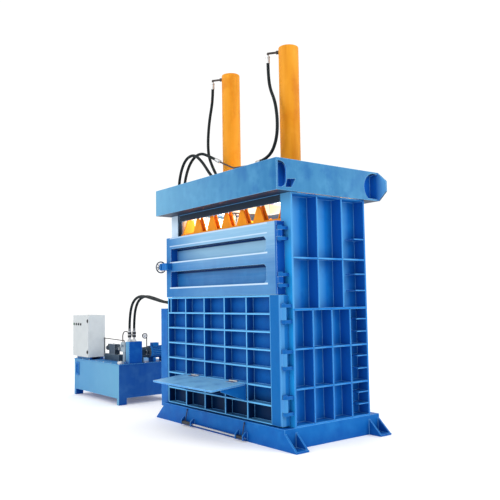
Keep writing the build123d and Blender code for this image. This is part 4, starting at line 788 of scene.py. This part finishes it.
# %% [markdown]
# ## Weld seams
# The frame, the doors and the platen are plate cut to shape and welded. A bead lies
# in every inside corner where two plates meet. The corners are found on the CAD
# pieces themselves, as edges whose two faces close in on each other. Along each a
# thin rope is grown whose thickness wavers, as a hand-laid bead does.

# %% Weld tree
bead_sides = 5
waver_scale = 34.0

weld_tree, given = growing_tree("weld_beads", "Step", "Bead Radius", "Waver")
seam = node(weld_tree, "GeometryNodeMeshToCurve", {"Mesh": given["Geometry"]}).outputs[0]
seam = node(weld_tree, "GeometryNodeResampleCurve", {"Curve": seam, "Length": given["Step"]},
            mode="LENGTH").outputs[0]
ripple = node(weld_tree, "ShaderNodeTexNoise", {"Scale": waver_scale, "Detail": 2.0}).outputs["Fac"]
ripple = math_node(weld_tree, "SUBTRACT", ripple, 0.5)
swell = math_node(weld_tree, "MULTIPLY_ADD", ripple, given["Waver"], 1.0)
seam = node(weld_tree, "GeometryNodeSetCurveRadius", {"Curve": seam, "Radius": swell}).outputs[0]
profile = node(weld_tree, "GeometryNodeCurvePrimitiveCircle",
               {"Resolution": bead_sides, "Radius": given["Bead Radius"]}, mode="RADIUS").outputs["Curve"]
bead = node(weld_tree, "GeometryNodeCurveToMesh", {"Curve": seam, "Profile Curve": profile,
                                                   "Fill Caps": True})
end_tree(weld_tree, bead.outputs[0], given)
print("weld tree nodes:", len(weld_tree.nodes))

# %% Welds
shortest_seam = 0.08
seam_angles = (-2.0, -1.1)
same_point = 1e-5
bead_sizes = {"Step": 0.03, "Bead Radius": 0.0042, "Waver": 0.9}


def inside_corners(names):
    """The lines along the inside corners of some CAD pieces, as one mesh of edges."""
    points, edges = [], []
    for name in names:
        plates = bmesh.new()
        plates.from_mesh(nodes[name].data)
        bmesh.ops.remove_doubles(plates, verts=plates.verts, dist=same_point)
        for edge in plates.edges:
            if len(edge.link_faces) == 2 and edge.calc_length() > shortest_seam:
                if seam_angles[0] < edge.calc_face_angle_signed(0) < seam_angles[1]:
                    edges.append((len(points), len(points) + 1))
                    points += [tuple(vertex.co) for vertex in edge.verts]
        plates.free()
    mesh = bpy.data.meshes.new("inside_corners")
    mesh.from_pydata(points, edges, [])
    return mesh


for name, body, names in (("right_wall_welds", "frame", ["right_side_wall"]),
                          ("left_wall_welds", "frame", ["left_side_wall"]),
                          ("frame_welds", "frame", ["rear_wall", "crown", "base_frame", "lock_post"]),
                          ("lower_door_welds", "lower_door", ["lower_door"]),
                          ("platen_welds", "ram", ["platen"])):
    paint, slot = (tooth_orange, "orange_paint") if body == "ram" else (weld_blue, "blue_paint")
    grown(name, inside_corners(names), weld_tree, body, slot, Material=paint, **bead_sizes)

# %% [markdown]
# ## Collars and rings
# Turned rings sit all over the hydraulics: crimped grooves on the hose sleeves, dark
# swivel nuts over the manifold, bright bands on the two valve coils. The cabinet's locks
# have a round plate behind them. All are short cylinders about an axis, so one tree
# places them and only the sizes change.

# %% Ring tree
ring_sides = 24

ring_tree, given = growing_tree("ring_collars", "Ring Radius", "Ring Height")
ring = node(ring_tree, "GeometryNodeMeshCylinder", {"Vertices": ring_sides, "Radius": given["Ring Radius"],
                                                    "Depth": given["Ring Height"]}).outputs["Mesh"]
end_tree(ring_tree, put_on_points(ring_tree, given, ring), given)
print("ring tree nodes:", len(ring_tree.nodes))

# %% Collars
crimp_reaches = (0.004, 0.018, 0.032)
swivel_levels = (0.985, 1.030)
coil_height = 0.770
band_reaches = (0.104, 0.226)
coil_nut_reach = 0.240
rosette_height = 0.004

crimps, crimp_axes = [], []
for route in hose_routes.values():
    for tip, inward in ((route[0], route[1]), (route[-1], route[-2])):
        axis = (Vector(inward) - Vector(tip)).normalized()
        crimps += [tuple(Vector(tip) + reach * axis) for reach in crimp_reaches]
        crimp_axes += [tuple(axis)] * len(crimp_reaches)
swivels = [(*hose_routes[name][0][:2], level)
           for name in ("supply_hose_front", "supply_hose_rear") for level in swivel_levels]
valve_middle = middle("directional_valve")
coil_bands = [(valve_middle.x + side * reach, valve_middle.y, coil_height)
              for side in (-1, 1) for reach in band_reaches]
coil_nuts = [(valve_middle.x + side * coil_nut_reach, valve_middle.y, coil_height) for side in (-1, 1)]
rosettes = [tuple(pivot(name) - Vector((0, rosette_height / 2, 0)))
            for name in ("upper_lock_turn", "lower_lock_turn")]
for name, body, spots, axes, radius, height, finish, slot in (
        ("crimp_rings", "frame", crimps, crimp_axes, 0.0249, 0.005, zinc, "bright_steel"),
        ("swivel_nuts", "frame", swivels, [(0, 0, 1)] * 4, 0.0285, 0.034, black_iron, "dark_steel"),
        ("coil_bands", "frame", coil_bands, [(1, 0, 0)] * 4, 0.0390, 0.014, zinc, "bright_steel"),
        ("coil_nuts", "frame", coil_nuts, [(1, 0, 0)] * 2, 0.0260, 0.012, zinc, "bright_steel"),
        ("lock_rosettes", "cabinet_door", rosettes, [(0, -1, 0)] * 2, 0.029, rosette_height,
         black_plastic, "black_plastic")):
    grown(name, seed_points(name, spots, axes), ring_tree, body, slot,
          **{"Ring Radius": radius, "Ring Height": height, "Material": finish})

# %% [markdown]
# ## Small screws of the power unit
# The tank lid is screwed down all round, the pump is bolted to its bell housing and
# the valve to its plate. They use the same bolt tree in smaller sizes.

# %% Power unit screws
lid_level = corner("manifold", 0).z
lid_columns = (-4.150, -3.890, -3.630, -3.370, -3.110, -2.850, -2.580)
lid_rows = (-0.628, 0.238)
lid_end_columns = (-4.163, -2.567)
lid_end_rows = (-0.45, -0.20, 0.05)
bell_ring = 0.073
bell_middle = middle("bell_housing")
bell_front = corner("bell_housing", 0).y
plate_level = 0.681
valve_level = corner("directional_valve", 1).z
washer_margin = 1.15

lid_screws = [(x, y, lid_level) for x in lid_columns for y in lid_rows]
lid_screws += [(x, y, lid_level) for x in lid_end_columns for y in lid_end_rows]
bell_screws = [(bell_middle.x + bell_ring * math.cos(turn), bell_front,
                bell_middle.z + bell_ring * math.sin(turn)) for turn in flange_turns]


def four_screws(reach_x, reach_y, level):
    """Places about the valve's middle, one in each corner."""
    return [(valve_middle.x + x, valve_middle.y + y, level)
            for x in (-reach_x, reach_x) for y in (-reach_y, reach_y)]


for name, spots, facing, radius in (
        ("lid_screws", lid_screws, (0, 0, 1), 0.0080),
        ("bell_screws", bell_screws, (0, -1, 0), 0.0068),
        ("plate_screws", four_screws(0.235, 0.036, plate_level), (0, 0, 1), 0.0075),
        ("valve_screws", four_screws(0.086, 0.030, valve_level), (0, 0, 1), 0.0075)):
    grown(name, seed_points(name, spots, [facing] * len(spots)), bolt_tree, "frame", "bright_steel",
          **{"Head Radius": radius, "Head Height": radius, "Washer Radius": radius * washer_margin,
             "Material": zinc})

# %% [markdown]
# ## A cable, a bent pipe and the cabinet's seal
# A cable conduit drops from the cabinet to the valve, and a bent pipe joins the relief
# valve and the manifold. Both are curves, like the hoses. A rubber seal fills the gap
# round the cabinet door: it is one straight-sided loop, so the weld tree grows it too,
# with no waver.

# %% Tubes
conduit_route = [(-3.668, -0.345, 0.924), (-3.668, -0.345, 0.80), (-3.668, -0.345, 0.70),
                 (-3.668, -0.345, 0.60), (-3.640, -0.345, 0.594), (-3.600, -0.345, 0.594)]
bent_pipe_route = [(-3.014, -0.350, 0.870), (-3.022, -0.350, 0.930), (-3.020, -0.350, 0.990),
                   (-2.990, -0.350, 1.030), (-2.930, -0.350, 1.046), (-2.860, -0.350, 1.040),
                   (-2.800, -0.352, 1.020), (-2.720, -0.360, 1.000), (-2.640, -0.364, 0.995)]
for name, route, radius, finish, slot in (
        ("valve_conduit", conduit_route, 0.0065, black_plastic, "black_plastic"),
        ("bent_pipe", bent_pipe_route, 0.0085, pipe_iron, "bright_steel")):
    small_tube = tube(name, route, radius, finish)
    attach(small_tube, "frame")
    print(name, "points", len(route))

# %% Door seal
seal_inset = 0.0030
seal_sizes = {"Step": 0.3, "Bead Radius": 0.0026, "Waver": 0.0}

inset = Vector((seal_inset, 0, seal_inset))
seal_low = corner("cabinet_door", 0) + inset
seal_high = corner("cabinet_door", 1) - inset
seal_corners = [(x, seal_high.y, z) for x, z in ((seal_low.x, seal_low.z), (seal_high.x, seal_low.z),
                                                 (seal_high.x, seal_high.z), (seal_low.x, seal_high.z))]
seal_line = bpy.data.meshes.new("door_seal")
seal_line.from_pydata(seal_corners, [(0, 1), (1, 2), (2, 3), (3, 0)], [])
grown("door_seal", seal_line, weld_tree, "frame", "black_plastic", Material=black_plastic, **seal_sizes)

# %% [markdown]
# ## The pressure gauge
# A dial behind glass: a white card with ticks round three quarters of its edge, and a
# steel rim. The needle is a CAD piece that turns between the card and the glass. The
# ticks are flat bars, each turned so that its length points away from the middle.

# %% Tick tree
tick_thickness = 0.0004
card_thickness = 0.0002
dial_middle = pivot("gauge_needle_turn") + Vector((card_thickness / 2, 0, 0))

tick_tree, given = growing_tree("dial_ticks", "Tick Length", "Tick Width")
size = node(tick_tree, "ShaderNodeCombineXYZ", {"X": given["Tick Width"], "Y": given["Tick Length"],
                                                "Z": tick_thickness}).outputs[0]
tick = node(tick_tree, "GeometryNodeMeshCube", {"Size": size}).outputs["Mesh"]
spot = node(tick_tree, "GeometryNodeInputPosition").outputs[0]
outward = node(tick_tree, "ShaderNodeVectorMath", {0: spot, 1: tuple(dial_middle)}, operation="SUBTRACT")
facing_out = node(tick_tree, "FunctionNodeAlignRotationToVector", {"Vector": (1.0, 0.0, 0.0)}, axis="Z")
aimed = node(tick_tree, "FunctionNodeAlignRotationToVector",
             {"Rotation": facing_out.outputs[0], "Vector": outward.outputs[0]}, axis="Y", pivot_axis="Z")
ticks = node(tick_tree, "GeometryNodeInstanceOnPoints",
             {"Points": given["Geometry"], "Instance": tick, "Rotation": aimed.outputs[0]})
end_tree(tick_tree, ticks.outputs[0], given)
print("tick tree nodes:", len(tick_tree.nodes))

# %% Card and ticks
card_radius = 0.0355
first_tick = 225
dial_span = 270

grown("dial_card", seed_points("dial_card", [tuple(dial_middle)], [(1, 0, 0)]), ring_tree, "frame",
      "gauge_steel", **{"Ring Radius": card_radius, "Ring Height": card_thickness, "Material": card_white})
for name, count, radius, length, width in (("long_ticks", 11, 0.0290, 0.007, 0.0014),
                                           ("short_ticks", 51, 0.0310, 0.003, 0.0007)):
    turns = [math.radians(first_tick - dial_span * i / (count - 1)) for i in range(count)]
    spots = [tuple(dial_middle + Vector((card_thickness, radius * math.cos(turn), radius * math.sin(turn))))
             for turn in turns]
    grown(name, seed_points(name, spots, [(1, 0, 0)] * count), tick_tree, "frame", "black_plastic",
          **{"Tick Length": length, "Tick Width": width, "Material": black_plastic})

# %% [markdown]
# ## Floor and light
# A factory yard under a bright overcast sky, cut out on white: the world is an even
# white dome, and the floor is pale and glows a little, so that it nearly melts into it.
# Two big soft lights add a direction, so that the front faces are a little brighter
# than the sides of the ribs. Two small lamps hang in the top of the chamber, because
# the gaps over the platen are white in the photograph.

# %% Stage
sky_strength = 1.06
floor_reach = 60
floor_drop = 0.001
floor_tone = 0.97
floor_glow = 0.12

scene.view_settings.view_transform = "Standard"
world = bpy.data.worlds.new("overcast_sky")
scene.world = world
world.use_nodes = True
sky_light = world.node_tree.nodes["Background"]
sky_light.inputs["Color"].default_value = (1, 1, 1, 1)
sky_light.inputs["Strength"].default_value = sky_strength

floor_corners = [(x * floor_reach, y * floor_reach, -floor_drop)
                 for x, y in ((-1, -1), (1, -1), (1, 1), (-1, 1))]
floor_mesh = bpy.data.meshes.new("floor")
floor_mesh.from_pydata(floor_corners, [], [(0, 1, 2, 3)])
floor = bpy.data.objects.new("floor", floor_mesh)
scene.collection.objects.link(floor)
pale_floor, floor_shader = blank_finish("pale_floor")
for socket, value in (("Base Color", (floor_tone, floor_tone, floor_tone, 1)), ("Roughness", 0.9),
                      ("Emission Color", (1, 1, 1, 1)), ("Emission Strength", floor_glow)):
    floor_shader.inputs[socket].default_value = value
floor_mesh.materials.append(pale_floor)
print("floor", 2 * floor_reach, "m square, sky", sky_strength)


# %% Lights
soft_light_size = 5.0
small_lamp_radius = 0.1


def lamp(name, kind, place, power):
    made = bpy.data.objects.new(name, bpy.data.lights.new(name, kind))
    made.data.energy = power
    made.location = place
    scene.collection.objects.link(made)
    print(name, power, "W")
    return made


for name, place, target, power in (("front_light", (-3.0, -10.0, 7.0), (-1.0, 0, 1.5), 300),
                                   ("side_light", (10.0, 5.0, 7.5), (0.5, 0, 1.8), 420)):
    soft_light = lamp(name, "AREA", place, power)
    soft_light.data.size = soft_light_size
    soft_light.rotation_euler = (Vector(target) - Vector(place)).to_track_quat("-Z", "Y").to_euler()
for name, x in (("left_chamber_light", -0.70), ("right_chamber_light", 0.40)):
    lamp(name, "POINT", (x, 0.0, 2.49), 20).data.shadow_soft_size = small_lamp_radius
